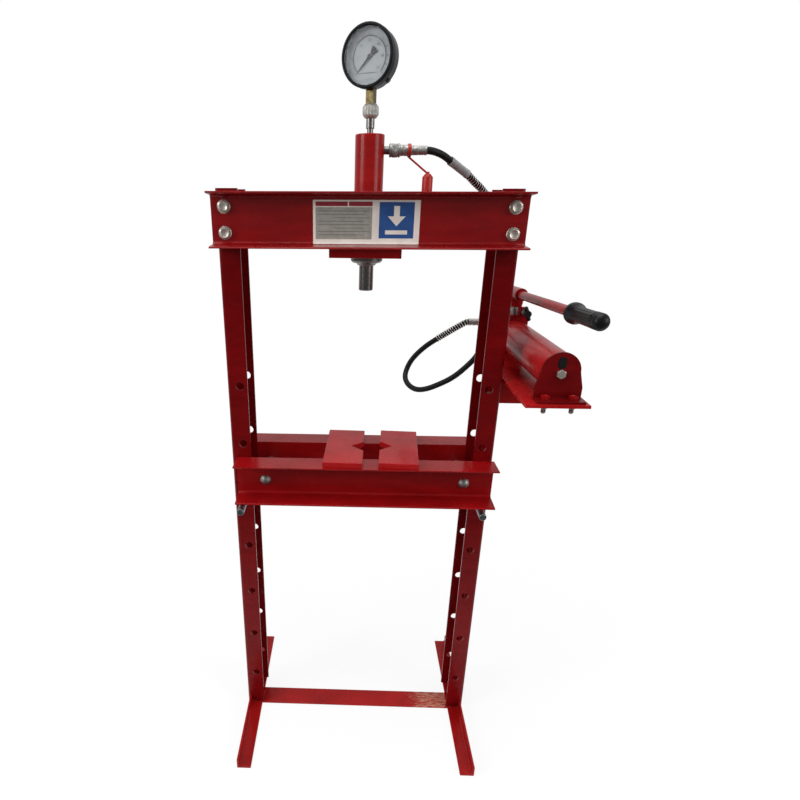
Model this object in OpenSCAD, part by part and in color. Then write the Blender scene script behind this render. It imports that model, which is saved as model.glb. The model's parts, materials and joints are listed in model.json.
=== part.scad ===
// Hydraulic shop press: drilled H-frame, ram cylinder with gauge, hand pump and pinned bed.
// Millimetres. +X is to the right, +Y to the back, +Z up. The floor is z = 0 and the ram axis is x = y = 0.

/* [Posts] */
// Outer width across the two posts
frame_w = 486; // [440:1:540]
// Height of the post tops above the floor
post_top = 1070; // [960:1:1200]
// Depth of a post, front to back
post_depth = 80; // [70:1:100]
// Width of a post flange, across the frame
post_flange = 36; // [32:1:44]
// Sheet thickness of a post
post_t = 4; // [3:0.5:5]
// Inner bend radius of a post
post_bend = 2; // [1.5:0.5:2]
// Bed pin hole line, measured from a post's outer face
hole_edge = 22; // [20:0.5:24]
// Diameter of a bed pin hole
hole_d = 15; // [14.6:0.1:16]
// Height of the lowest pin hole
hole_first = 89.3; // [60:0.1:110]
// Distance from one pin hole to the next
hole_pitch = 110; // [90:1:120]
// Pin holes in each post
hole_count = 7; // [6:1:8]

/* [Feet] */
// Reach of a foot in front of the ram axis
foot_front = 215; // [160:1:280]
// Reach of a foot behind the ram axis
foot_rear = 186; // [140:1:260]
// Width of the foot angle's flat leg
foot_w = 28; // [24:1:34]
// Height of the foot angle's upright leg
foot_h = 22; // [16:1:34]
// Thickness of the foot angle
foot_t = 4; // [3:0.5:6]
// Width of the base crossbar
bar_w = 45; // [38:1:56]
// Thickness of the base crossbar
bar_t = 4; // [3:0.5:8]
// Middle of the base crossbar, front to back
bar_y = -18; // [-18:1:0]

/* [Top beams] */
// How far a beam stands past a post
beam_over = 7; // [2:1:20]
// Height of a beam channel
beam_h = 82; // [72:1:100]
// Flange width of a beam channel
beam_flange = 40; // [34:1:50]
// Thickness of a beam channel
beam_t = 5; // [4:0.5:7]
// Inner fillet of the beam and bed channels
channel_fillet = 5; // [3:0.5:7]
// How far the post tops stand above the beams
beam_drop = 5; // [3:1:20]
// Beam bolt line, measured from a post's outer face
bolt_edge = 14.2; // [14.1:0.1:15]
// Upper to lower beam bolt
bolt_pitch = 39; // [34:1:46]

/* [Fasteners] */
// Beam bolt diameter
bolt_d = 10; // [8:1:10]
// Beam bolt hexagon, across flats
bolt_af = 16; // [14:1:16]
// Height of a beam bolt head
bolt_head = 6.4; // [5:0.2:8]
// Height of a beam nut
nut_h = 8; // [6:0.5:10]
// Washer diameter
washer_d = 21; // [20:0.5:24]
// Washer thickness
washer_t = 2; // [1.5:0.5:3]
// Small bolt diameter, on the pump and its bracket
small_d = 8; // [6:1:8]
// Small bolt hexagon, across flats
small_af = 13; // [11:1:13]
// Height of a small bolt head and of its nut
small_head = 5.5; // [4:0.5:7]
// Bolt end that stands out of its nut
bolt_end = 3; // [1:0.5:5]
// Bolt end that stands out of a nut under the pump shelf
shelf_bolt_end = 9; // [4:0.5:12]

/* [Bed] */
// How much shorter the bed is than the frame is wide
bed_short = 6; // [0:1:10]
// Height of a bed channel
bed_h = 76; // [68:1:90]
// Flange width of a bed channel
bed_flange = 49; // [40:1:54]
// Thickness of a bed channel
bed_t = 5; // [4:0.5:7]
// Sideways place of the bed between the posts
bed_shift = 6; // [0:0.5:8]
// Count of free pin holes below the bed
below_count = 4; // [3:1:4]
// Bed bolts inside the edges of the post flanges
bed_bolt_in = 20; // [19:1:40]
// Height of the bed bolts above the bed's underside
bed_bolt_rise = 32; // [26:1:40]
// Bed bolt diameter
bed_bolt_d = 12; // [10:1:14]
// Domed head of a bed bolt
bed_head_d = 20.5; // [19:0.5:24]
// Outer diameter of a bed spacer
spacer_d = 24; // [18:1:24]
// Bed pin diameter
pin_d = 13.4; // [12:0.1:14]
// How far a bed pin stands past the bed's flange
pin_over = 18; // [5:1:24]

/* [Arbor plates] */
// Length of an arbor plate, front to back
plate_l = 172; // [150:1:184]
// Width of an arbor plate
plate_w = 72; // [56:1:84]
// Thickness of an arbor plate
plate_t = 11; // [8:1:16]
// Mouth of the notch in an arbor plate
notch_w = 44; // [20:1:60]
// Depth of the notch in an arbor plate
notch_d = 23; // [12:1:34]
// Gap between the two arbor plates
plate_gap = 31; // [22:1:44]
// Middle of that gap, measured from the ram axis
plate_shift = 20; // [0:1:24]
// Turn of the left arbor plate
left_turn = 2.5; // [0:0.1:4]
// Turn of the right arbor plate
right_turn = 3.9; // [0:0.1:5]

/* [Cylinder] */
// Side of the square plate under the beams
head_plate_w = 116; // [104:1:130]
// Thickness of that plate
head_plate_t = 15; // [10:1:16]
// Turn of that plate about the ram axis
head_plate_turn = 4; // [0:1:15]
// Outer diameter of the barrel
barrel_d = 46; // [44:1:54]
// Bore of the barrel
barrel_bore = 36; // [34:0.5:38]
// How far the barrel stands above the beams
barrel_rise = 82; // [74:1:100]
// Thickness of the end cap
cap_t = 14; // [12:0.5:16]
// Diameter of the gland's flange
gland_d = 53; // [50:1:60]
// Height of the gland's flange
gland_h = 9; // [6:0.5:12]
// Height of the gland's cone
gland_cone = 6; // [4:0.5:9]
// Length of the gland inside the barrel
gland_spigot = 20; // [14:1:24]
// Diameter of the ram rod
rod_d = 24; // [20:0.5:24]
// Bore of the ram rod
rod_bore = 13; // [12:0.5:14]
// Solid nose of the ram rod
rod_nose = 18; // [14:1:30]
// Ram rod showing under the gland
rod_out = 41; // [30:1:60]
// Height of the piston
piston_t = 16; // [12:0.5:18]
// Oil space above the piston
piston_gap = 16; // [14:0.5:20]
// Outer diameter of the return spring
spring_d = 11; // [9:0.5:11.5]
// Wire diameter of the return spring
spring_wire = 2; // [1.5:0.1:2.4]
// Coils of the return spring
spring_turns = 20; // [14:1:24]

/* [Gauge] */
// Diameter of the gauge case
case_d = 80; // [70:1:100]
// Depth of the gauge case
case_depth = 28; // [26:1:36]
// Wall of the gauge case
case_wall = 1.6; // [1.4:0.1:2]
// Turn of the gauge towards the left
gauge_turn = 25; // [0:1:45]
// Width of the bezel's lip over the lens
bezel_lip = 3.5; // [3:0.5:8]
// Neck between the barrel and the swivel nut
neck_h = 22; // [16:1:30]
// Height of the swivel nut
swivel_h = 19; // [16:1:26]
// Diameter of the swivel nut
swivel_d = 25; // [22:1:28]
// Height of the brass stem block
stem_h = 19; // [14:1:26]
// Brass stem block, across flats
stem_af = 12.5; // [12:0.5:16]

/* [Coupling] */
// Port below the top of the barrel
port_drop = 22; // [20:0.5:24]
// Bore of the oil ports
port_bore = 6; // [4:0.5:7]
// Thread diameter of the hydraulic fittings
fitting_d = 12; // [10:0.5:13]
// Length of the nipple that shows at the barrel
nipple_l = 8; // [5:0.5:14]
// Diameter of the coupler's knurled ring
coupler_d = 20; // [18:0.5:24]
// Length of the coupler's knurled ring
coupler_l = 17; // [14:0.5:22]
// Diameter of the coupler's neck
collar_d = 16; // [15:0.5:18]
// Length of the coupler's neck
collar_l = 18; // [14:0.5:22]
// Diameter of a hose ferrule
ferrule_d = 13.5; // [12:0.5:15]
// Length of the upper ferrule
upper_ferrule_l = 24; // [18:0.5:30]
// Diameter of the dust cap
dust_d = 17; // [14:0.5:20]
// Height of the dust cap
dust_h = 26; // [20:1:32]

/* [Pump] */
// Width of the pump shelf
shelf_w = 101; // [94:1:116]
// Height of the shelf's top
shelf_top = 763; // [720:1:780]
// Thickness of the shelf
shelf_t = 5; // [4:0.5:7]
// Shelf showing past the pump, front and back
shelf_lip = 5; // [2:1:14]
// Mounting plate of the bracket
mount_t = 6; // [4:0.5:8]
// Depth of the gusset under the shelf
gusset_h = 45; // [36:1:60]
// Pump axis, measured from the right post's outer face
pump_x = 63; // [58:0.5:66]
// Diameter of the reservoir
tank_d = 62; // [54:1:66]
// Wall of the reservoir
tank_wall = 3; // [2:0.5:5]
// Height of the reservoir's axis above the shelf
tank_rise = 42; // [38:0.5:46]
// Front end of the reservoir, in front of the ram axis
tank_front = 135; // [128:1:140]
// Length of the reservoir
tank_l = 295; // [270:1:310]
// Width of the end plate's foot
end_w = 75; // [72:1:84]
// Thickness of the end plate
end_t = 4; // [3:0.5:6]
// Reach of the end plate's foot flange
end_flange = 26; // [22:1:30]
// Distance between the two end plate bolts
end_bolt_span = 44; // [40:1:54]
// Width of the pump head
head_w = 50; // [48:1:58]
// Length of the pump head
head_l = 64; // [62:1:74]
// Height of the pump head above the shelf
head_h = 83; // [80:0.5:86]
// Width of the pump head's foot
head_foot_w = 90; // [88:1:96]
// Plunger diameter
plunger_d = 12; // [10:0.5:14]
// Plunger to lever pivot
lever_arm = 30; // [28:0.5:32]
// Lever pivot above the pump head
pivot_rise = 18; // [17:0.5:20]
// Lever pin diameter
lever_pin_d = 8; // [6:0.5:9]
// Release valve beside the pump axis
valve_x = 16; // [15:0.5:17]
// Release valve above the shelf
valve_rise = 89; // [88:0.5:90]
// Release stem diameter
valve_d = 9; // [8:0.5:10]
// Length of the T knob's bar
knob_bar = 30; // [22:1:32]

/* [Handle] */
// Handle axis above the lever pivot
handle_rise = 20; // [14:0.5:22]
// Angle of the handle above level
handle_tilt = 2.6; // [0:0.1:8]
// Diameter of the handle tube
handle_d = 16; // [14:0.5:18]
// Wall of the handle tube
handle_wall = 2; // [1.5:0.5:3]
// Lever pivot to the end of the grip
handle_l = 476; // [420:1:540]
// Diameter of the lever socket
socket_d = 25; // [24:0.5:25.4]
// Lever pivot to the mouth of the socket
socket_l = 72; // [60:1:100]
// Length of the grip
grip_l = 114; // [100:1:160]
// Diameter of the grip
grip_d = 24; // [22:0.5:28]
// Diameter of the grip's inner collar
grip_collar_d = 32; // [28:0.5:38]

/* [Hose] */
// Diameter of the hose
hose_d = 11; // [9:0.5:12]
// Diameter of a spring guard
guard_d = 14; // [13:0.5:15]
// Diameter of the grey sleeve
sleeve_d = 14; // [13:0.5:16]

/* [Clearances] */
// Bolt and pin holes, on the diameter
hole_play = 0.6; // [0.4:0.1:1]
// Pieces that sit in one another, on the diameter
fit_play = 0.2; // [0.1:0.05:0.4]
// Running fits, on the diameter
run_play = 0.12; // [0.1:0.02:0.2]
// Pieces that rest on or slide past one another
rest_gap = 0.3; // [0.2:0.05:0.5]
// Bed channels beside the posts
bed_play = 0.5; // [0.3:0.1:1]

/* [Hidden] */

$fn = 48;
// Depth by which a cut runs past the face that it leaves
over = 1;
red = "#a8121a";
dark_red = "#7d0c12";
zinc = "#c9ccce";
steel = "#8d9094";
brass = "#b08a3c";
rubber = "#1b1b1d";

// Frame places
post_x = frame_w / 2;
post_y = post_depth / 2;
post_in = post_x - post_t;
foot_in = post_in - foot_w;
pin_x = post_x - hole_edge;
beam_top = post_top - beam_drop;
beam_bottom = beam_top - beam_h;
bolt_x = post_x - bolt_edge;
beam_l = frame_w + 2 * beam_over;
bolt_zs = [for (s = [-1, 1]) beam_bottom + beam_h / 2 + s * bolt_pitch / 2];
// Toe radius of the beam and bed channels
toe_r = 2;
// Thickness of a rolled flange at its toe, as a share of the web's
toe_share = 0.6;

// Bed places
pin_z = hole_first + below_count * hole_pitch;
bed_bottom = pin_z + pin_d / 2 + rest_gap;
bed_top = bed_bottom + bed_h;
bed_web = post_y + bed_play;
bed_l = frame_w - bed_short;
pin_l = 2 * (bed_web + bed_flange + pin_over);
bed_bolt_z = bed_bottom + bed_bolt_rise;
bed_bolt_xs = [for (s = [-1, 1]) bed_shift + s * (post_x - post_flange - bed_bolt_in)];
// Height of a bed bolt's dome and of its nut
bed_head_h = 7;
bed_nut_af = 18;
bed_nut_h = 10;
// Small chamfer on plates, pins and rods
chamfer = 1;

// Cylinder places, from the beams' underside
plate_under = beam_bottom - head_plate_t;
barrel_top = beam_top + barrel_rise;
cap_under = barrel_top - cap_t;
gland_nose = plate_under - gland_h - gland_cone;
rod_end = gland_nose - rod_out;
piston_top = cap_under - piston_gap;
port_z = barrel_top - port_drop;
spring_foot = rod_end + rod_nose;
// Groove of the piston seal
seal_h = 5;
seal_depth = 2.5;
// Root diameter and length of the small screwed fittings
screw_d = 9.6;
screw_l = 8;
// Flat lip of the gland round the rod
gland_lip = 2.5;
gland_round = 3;

// Gauge places
gauge_z = barrel_top + neck_h + swivel_h + stem_h + case_d / 2;
case_r = case_d / 2;
dial_d = case_d - 2 * bezel_lip;
case_back = -10;
case_front = case_back + case_depth;
dial_seat = case_front - 9;
dial_t = 0.8;
lens_t = 2;
bezel_t = 1.2;
bezel_skirt = 9;
pointer_t = 0.8;
pointer_lift = 1.6;
pivot_d = 3;
// Length of the stem's root inside the case, and width of the dial's ledge
case_root = 8;
dial_ledge = 2;
// Filler plug of the case
plug_angle = -48;
plug_d = 7;
plug_h = 2.5;
// Pressure tube inside the case
tube_z = 0;
tube_r = case_r * 0.55;
tube_d = 5;

// Coupling places
coupler_x = barrel_d / 2 + nipple_l;
coupler_deep = coupler_l - 4;
ring_w = 5;
ring_t = 1.5;
strap_d = 3;
dust_reach = 34;
dust_drop = 33;
dust_wall = 2;

// Pump places
mount_x = post_x + mount_t;
mount_back = post_y - 6;
mount_bolt_y = mount_back / 2 + 1;
mount_bolt_zs = [for (f = [0.2, 0.8]) shelf_top - shelf_t - f * gusset_h];
shelf_under = shelf_top - shelf_t;
pump_axis = post_x + pump_x;
tank_y = -tank_front;
tank_z = shelf_top + tank_rise;
head_y = tank_y + tank_l;
shelf_front = tank_y - end_t - end_flange - shelf_lip;
shelf_back = head_y + head_l + shelf_lip;
head_top = shelf_top + head_h;
pivot_z = head_top + pivot_rise;
pivot_y = head_y + head_l - 12;
plunger_y = pivot_y - lever_arm;
plunger_deep = 48;
// Half width of the lever between the ears, and thickness of an ear
lever_half = 12.6;
ear_gap = 13;
ear_t = 7;
ear_r = 12;
pad_drop = 4;
pad_half = 6.5;
pad_z = pivot_z - pad_drop;
end_bolt_y = tank_y - end_t - end_flange * 0.4;
end_rise = 3;
end_side = 20;
filler_rise = 12;
filler_w = 8;
filler_l = 14;
head_x = pump_axis - head_w / 2;
head_cut = 5;
head_foot_l = 22;
head_foot_t = 7;
head_foot_y = head_y + 24;
head_bolt_x = head_foot_w / 2 - 10;
valve_z = shelf_top + valve_rise;
valve_boss_d = 18;
valve_boss_l = 14;
valve_deep = 12;
valve_collar_l = 13;
knob_l = 14;
knob_d = 13;
knob_bar_d = 8;
knob_turn = 20;
outlet_y = head_y + 10;
outlet_z = shelf_top + 67;
outlet_l = 25;
outlet_af = 17;
lower_ferrule_l = 42;
// Start of the handle's bore in the socket, in front of the lever pivot
handle_in = 20;
// Rubber over the handle's end, and the grip's rounded end
grip_wall = 6;
grip_round = 8;
grip_dome_r = (pow(grip_d / 2, 2) + pow(grip_round, 2)) / (2 * grip_round);

// Hose route from the pump to the coupler
route = [
    [head_x - outlet_l - lower_ferrule_l, outlet_y, outlet_z],
    [199, 172, 823], [178, 180, 808], [156, 190, 791], [132, 198, 771],
    [110, 203, 746], [98, 197, 725], [94, 181, 710], [100, 160, 700], [114, 141, 696],
    [132, 127, 701], [156, 116, 714], [182, 109, 731], [205, 105, 753], [224, 105, 776],
    [236, 107, 806], [241, 111, 840], [243, 115, 875], [243, 119, 910], [243, 121, 945],
    [243, 122, 980], [240, 120, 1011], [229, 113, 1039], [213, 101, 1059.5], [198, 85, 1072.5],
    [182, 69, 1082.5], [166, 53, 1093.5], [131, 22, 1112], [112, 8, 1121],
    [coupler_x + coupler_l + collar_l + upper_ferrule_l, 0, port_z],
];
// Stretches of the route, as first and last point: lower guard, hose, upper guard, sleeve, tail
lower_guard_span = [0, 3];
hose_span = [3, 23];
upper_guard_span = [23, 26];
sleeve_span = [26, 27];
tail_span = [27, 29];
hose_sides = 10;

// Unit vector
function unit(v) = v / norm(v);
// Direction of the route at a point: straight out of the fittings at its ends
function route_dir(i) =
    i == 0 || i == len(route) - 1 ? [-1, 0, 0]
    : i == sleeve_span[0] || i == sleeve_span[1] ? unit(route[sleeve_span[1]] - route[sleeve_span[0]])
    : unit(route[i + 1] - route[i - 1]);
// Normal carried along the route without twist
function route_normals(i = 0, n = [0, 0, 1]) =
    i == len(route) ? []
    : let (d = route_dir(i), m = unit(n - (n * d) * d)) concat([m], route_normals(i + 1, m));

// Tube along part of the route
module route_tube(span, d) {
    normals = route_normals();
    n = span[1] - span[0] + 1;
    rings = [
        for (i = [span[0]:span[1]])
            let (a = normals[i], b = cross(route_dir(i), a))
                for (k = [0:hose_sides - 1])
                    let (w = 360 * k / hose_sides) route[i] + d / 2 * (cos(w) * a + sin(w) * b)
    ];
    walls = [
        for (i = [0:n - 2])
            for (k = [0:hose_sides - 1])
                let (j = (k + 1) % hose_sides, p = i * hose_sides, q = p + hose_sides)
                    each [[p + k, q + k, q + j], [p + k, q + j, p + j]]
    ];
    start = [for (k = [0:hose_sides - 1]) k];
    end = [for (k = [hose_sides - 1:-1:0]) (n - 1) * hose_sides + k];
    polyhedron(rings, concat(walls, [start, end]));
}

// Coil of round wire standing on z = 0, as one swept strip
module coil(r, wire, h, turns) {
    steps = 10 * turns;
    sides = 5;
    rings = [
        for (i = [0:steps])
            let (a = 360 * i / 10, z = wire / 2 + (h - wire) * i / steps)
                for (k = [0:sides - 1])
                    let (w = 360 * k / sides, q = r + wire / 2 * cos(w))
                        [q * cos(a), q * sin(a), z + wire / 2 * sin(w)]
    ];
    walls = [
        for (i = [0:steps - 1])
            for (k = [0:sides - 1])
                let (j = (k + 1) % sides, p = i * sides, q = p + sides)
                    each [[p + k, p + j, q + j], [p + k, q + j, q + k]]
    ];
    start = [for (k = [sides - 1:-1:0]) k];
    end = [for (k = [0:sides - 1]) steps * sides + k];
    polyhedron(rings, concat(walls, [start, end]));
}

// Rolled channel section: web on the vertical axis, flanges to +x, filleted inside, rounded toes
module rolled_section(h, w, t) {
    difference() {
        union() {
            translate([0, -h / 2]) square([t, h]);
            rolled_flange(h, w, t);
            mirror([0, 1]) rolled_flange(h, w, t);
        }
        rolled_toe(h, w, t);
        mirror([0, 1]) rolled_toe(h, w, t);
    }
}

// Upper flange of a rolled section with its fillet
module rolled_flange(h, w, t) {
    r = channel_fillet;
    top = h / 2;
    toe = top - t * toe_share;
    polygon([[0, top], [0, top - t], [t + r, top - t], [w - toe_r, toe], [w, toe], [w, top]]);
    difference() {
        translate([t, h / 2 - t - r]) square(r);
        translate([t + r, h / 2 - t - r]) circle(r);
    }
}

// Waste outside the rounded toe of the upper flange
module rolled_toe(h, w, t) {
    difference() {
        translate([w - toe_r, h / 2 - t * toe_share - over]) square(toe_r + over);
        translate([w - toe_r, h / 2 - t * toe_share + toe_r]) circle(toe_r);
    }
}

// Rolled channel along x, its web's back on y = 0 and its flanges to +y
module rolled_channel(l, h, w, t) {
    translate([-l / 2, 0, 0]) rotate([90, 0, 90]) linear_extrude(l) rolled_section(h, w, t);
}

// Outline with two rounded corners at x = x0, open to the right
module bent_outline(x0, x1, half, r) {
    translate([x0 + r, -half]) square([x1 - x0 - r, 2 * half]);
    translate([x0, r - half]) square([x1 - x0, 2 * (half - r)]);
    for (s = [-1, 1]) translate([x0 + r, s * (half - r)]) circle(r);
}

// Bent sheet channel: web on x = 0, flanges to +x
module bent_section(w, depth, t, r) {
    difference() {
        bent_outline(0, w, depth / 2, r + t);
        bent_outline(t, w + over, depth / 2 - t, r);
    }
}

// Cylinder along y, from y0 to y1
module rod_y(d, y0, y1) {
    translate([0, y0, 0]) rotate([-90, 0, 0]) cylinder(h = y1 - y0, d = d);
}

// Cylinder along x, from x0 to x1
module rod_x(d, x0, x1) {
    translate([x0, 0, 0]) rotate([0, 90, 0]) cylinder(h = x1 - x0, d = d);
}

// Hexagon prism on z = 0 with a chamfered top, flats to the sides
module hex_prism(af, h) {
    intersection() {
        rotate(30) cylinder(h = h, d = af / cos(30), $fn = 6);
        union() {
            cylinder(h = h - af * 0.06, d = af / cos(30) + over);
            translate([0, 0, h - af * 0.06]) cylinder(h = af * 0.06, d1 = af / cos(30), d2 = af * 0.95);
        }
    }
}

// Hexagon bolt: head on z = 0, shank of length l below it
module hex_bolt(d, af, head, l) {
    hex_prism(af, head);
    translate([0, 0, -l]) cylinder(h = l + head / 2, d = d);
}

// Hexagon nut on z = 0
module hex_nut(d, af, h) {
    difference() {
        hex_prism(af, h);
        translate([0, 0, -over]) cylinder(h = h + 2 * over, d = d + fit_play);
    }
}

// Places of the beam bolts, local z pointing out of the beam's web
module at_beam_bolts() {
    for (x = [-bolt_x, bolt_x], z = bolt_zs, s = [0, 180])
        translate([0, 0, z]) rotate([0, 0, s])
            translate([x, -post_y - beam_t, 0]) rotate([90, 0, 0]) children();
}

// Right post, without the holes that only one post has
module post_body() {
    difference() {
        translate([post_x, 0, 0]) mirror([1, 0, 0]) linear_extrude(post_top)
            bent_section(post_flange, post_depth, post_t, post_bend);
        for (i = [0:hole_count - 1]) translate([pin_x, 0, hole_first + i * hole_pitch])
            rod_y(hole_d, -post_y - over, post_y + over);
        for (z = bolt_zs) translate([bolt_x, 0, z]) rod_y(bolt_d + hole_play, -post_y - over, post_y + over);
        foot_notch(post_depth + 2 * over);
    }
}

// Notch of the right post over its foot, the foot's fillet and the end of the crossbar
module foot_notch(l) {
    flat = post_flange - post_t + over;
    translate([post_in, l / 2, -over]) rotate([90, 0, 0]) linear_extrude(l) {
        translate([-flat, 0]) square([flat, max(foot_t, bar_t) + fit_play + over]);
        translate([-2 * foot_t - fit_play, 0]) square([2 * foot_t + fit_play, 2 * foot_t + fit_play + over]);
        translate([-foot_t - fit_play, 0]) square([foot_t + fit_play, foot_h + fit_play + over]);
    }
}

// Right foot's angle section along y
module foot_profile(l) {
    translate([0, l, 0]) rotate([90, 0, 0]) linear_extrude(l) {
        translate([foot_in, 0]) square([foot_w, foot_t]);
        translate([post_in - foot_t, 0]) square([foot_t, foot_h]);
        translate([post_in - foot_t, foot_t]) mirror([1, 0]) difference() {
            square(foot_t);
            translate([foot_t, foot_t]) circle(foot_t);
        }
    }
}

module left_post() {
    color(red) mirror([1, 0, 0]) post_body();
}

module right_post() {
    color(red) difference() {
        post_body();
        at_mount_bolts() rod_x(small_d + hole_play, -post_t - mount_t - over, over);
    }
}

module right_foot() {
    color(red) translate([0, -foot_front, 0]) foot_profile(foot_front + foot_rear);
}

module left_foot() {
    color(red) mirror([1, 0, 0]) right_foot();
}

module base_crossbar() {
    color(red) translate([-foot_in, bar_y - bar_w / 2, 0]) cube([2 * foot_in, bar_w, bar_t]);
}

module rear_beam() {
    color(red) difference() {
        translate([0, post_y, beam_bottom + beam_h / 2]) rolled_channel(beam_l, beam_h, beam_flange, beam_t);
        for (x = [-bolt_x, bolt_x], z = bolt_zs) translate([x, 0, z])
            rod_y(bolt_d + hole_play, post_y - over, post_y + beam_t + over);
    }
}

module front_beam() {
    mirror([0, 1, 0]) rear_beam();
}

module beam_washers() {
    color(zinc) at_beam_bolts() difference() {
        cylinder(h = washer_t, d = washer_d);
        translate([0, 0, -over]) cylinder(h = washer_t + 2 * over, d = bolt_d + fit_play);
    }
}

module beam_bolts() {
    color(zinc) at_beam_bolts() translate([0, 0, washer_t])
        hex_bolt(bolt_d, bolt_af, bolt_head, washer_t + beam_t + post_t + nut_h + bolt_end);
}

module beam_nuts() {
    color(zinc) at_beam_bolts() translate([0, 0, -beam_t - post_t]) rotate([180, 0, 0])
        hex_nut(bolt_d, bolt_af, nut_h);
}

// Square plate clamped under the beams
module cylinder_plate() {
    color(red) difference() {
        rotate([0, 0, -head_plate_turn]) translate([0, 0, plate_under + head_plate_t / 2])
            cube([head_plate_w, head_plate_w, head_plate_t], center = true);
        translate([0, 0, plate_under - over]) cylinder(h = head_plate_t + 2 * over, d = barrel_d + fit_play);
    }
}

module cylinder_barrel() {
    r = barrel_d / 2;
    color(red) difference() {
        rotate_extrude() polygon([
            [barrel_bore / 2, plate_under], [r, plate_under], [r, barrel_top - chamfer],
            [r - chamfer, barrel_top], [barrel_bore / 2, barrel_top],
        ]);
        translate([0, 0, port_z]) rod_x(screw_d + fit_play, 0, barrel_d);
    }
}

// Screwed end cap with the gauge's seat
module cylinder_cap() {
    color(dark_red) difference() {
        translate([0, 0, cap_under]) cylinder(h = cap_t, d = barrel_bore - fit_play);
        translate([0, 0, barrel_top - screw_l]) cylinder(h = screw_l + over, d = screw_d + fit_play);
        translate([0, 0, cap_under - over]) cylinder(h = cap_t, d = port_bore);
    }
}

// Collar that guides the rod: flange and cone below the plate, spigot in the barrel
module rod_gland() {
    bore = (rod_d + run_play) / 2;
    spigot = (barrel_bore - fit_play) / 2;
    color(steel) rotate_extrude() polygon([
        [bore, gland_nose], [bore + gland_lip, gland_nose],
        [bore + 2 * gland_lip, gland_nose + gland_cone * 0.5],
        [gland_d / 2 - gland_round, gland_nose + gland_cone * 0.75],
        [gland_d / 2, gland_nose + gland_cone * 0.75 + gland_round],
        [gland_d / 2, plate_under], [spigot, plate_under],
        [spigot, plate_under + gland_spigot], [bore, plate_under + gland_spigot],
    ]);
}

// Hollow rod, open at the top for the return spring
module ram_rod() {
    r = rod_d / 2;
    color(zinc) rotate_extrude() polygon([
        [0, rod_end], [r - chamfer, rod_end], [r, rod_end + chamfer], [r, piston_top],
        [rod_bore / 2, piston_top], [rod_bore / 2, spring_foot], [0, spring_foot],
    ]);
}

module ram_piston() {
    r = (barrel_bore - run_play) / 2;
    mid = piston_top - piston_t / 2;
    color(steel) difference() {
        translate([0, 0, piston_top - piston_t]) cylinder(h = piston_t, r = r);
        translate([0, 0, piston_top - piston_t - over])
            cylinder(h = piston_t + 2 * over, d = rod_d + fit_play);
        translate([0, 0, mid - seal_h / 2]) difference() {
            cylinder(h = seal_h, r = r + over);
            translate([0, 0, -over]) cylinder(h = seal_h + 2 * over, r = r - seal_depth);
        }
    }
}

module piston_seal() {
    r = (barrel_bore - run_play) / 2;
    h = seal_h - fit_play;
    color(rubber) translate([0, 0, piston_top - piston_t / 2 - h / 2]) difference() {
        cylinder(h = h, r = r);
        translate([0, 0, -over]) cylinder(h = h + 2 * over, r = r - seal_depth + fit_play / 2);
    }
}

module return_spring() {
    color(steel) translate([0, 0, spring_foot])
        coil((spring_d - spring_wire) / 2, spring_wire, cap_under - spring_foot, spring_turns);
}

// Nipple between the cap and the swivel nut: thin root, thicker neck, thread inside the nut
module gauge_nipple() {
    root = neck_h * 0.36;
    color(steel) translate([0, 0, barrel_top]) difference() {
        union() {
            translate([0, 0, -screw_l]) cylinder(h = screw_l + neck_h, d = screw_d);
            translate([0, 0, root]) cylinder(h = neck_h - root, d = fitting_d + 1);
            translate([0, 0, neck_h]) cylinder(h = screw_l, d = fitting_d);
        }
        translate([0, 0, -screw_l - over]) cylinder(h = neck_h + 2 * screw_l + 2 * over, d = port_bore / 2);
    }
}

// Barrel-shaped swivel nut
module gauge_nut() {
    r = swivel_d / 2;
    bore = (fitting_d + fit_play) / 2;
    color(zinc) translate([0, 0, barrel_top + neck_h]) rotate_extrude() polygon([
        [bore, 0], [r * 0.72, 0], [r, swivel_h * 0.22], [r, swivel_h * 0.78],
        [r * 0.72, swivel_h], [bore, swivel_h],
    ]);
}

// Gauge frame: local z points out of the dial, local y up, the case's centre at the origin
module gauge_frame() {
    translate([0, 0, gauge_z]) rotate([0, 0, -gauge_turn]) rotate([90, 0, 0]) children();
}

// Brass block with a thread into the nut and a root into the case
module gauge_stem() {
    top = gauge_z - case_r;
    color(brass) union() {
        difference() {
            rotate([0, 0, -gauge_turn]) translate([-stem_af / 2, -stem_af / 2, top - stem_h])
                cube([stem_af, stem_af, stem_h + over]);
            gauge_frame() cylinder(h = 2 * case_d, d = case_d + fit_play, center = true);
        }
        translate([0, 0, top - stem_h - screw_l]) cylinder(h = screw_l + over, d = fitting_d);
        translate([0, 0, top - over]) cylinder(h = over + case_root, d = screw_d);
    }
}

// Deep cup with a ledge for the dial and a filler plug low on its right side
module gauge_case() {
    inner = case_r - case_wall;
    color(rubber) gauge_frame() {
        difference() {
            rotate_extrude() polygon([
                [0, case_back], [case_r - 3, case_back], [case_r, case_back + 3], [case_r, case_front],
                [inner, case_front], [inner, dial_seat], [inner - dial_ledge, dial_seat],
                [inner - dial_ledge, case_back + case_wall], [0, case_back + case_wall],
            ]);
            rod_y(screw_d + fit_play, -case_d, 0);
        }
        rotate([0, 0, plug_angle]) rod_x(plug_d, case_r - case_wall, case_r + plug_h);
    }
}

// Turned ring over the case's rim, with a lip over the lens
module gauge_bezel() {
    r0 = case_r + fit_play / 2;
    r1 = r0 + bezel_t;
    lip = case_front + lens_t;
    color(rubber) gauge_frame() rotate_extrude() polygon([
        [r0, case_front - bezel_skirt], [r1, case_front - bezel_skirt], [r1, lip],
        [r1 - bezel_t, lip + bezel_t], [dial_d / 2 + bezel_t, lip + bezel_t], [dial_d / 2, lip], [r0, lip],
    ]);
}

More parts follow.
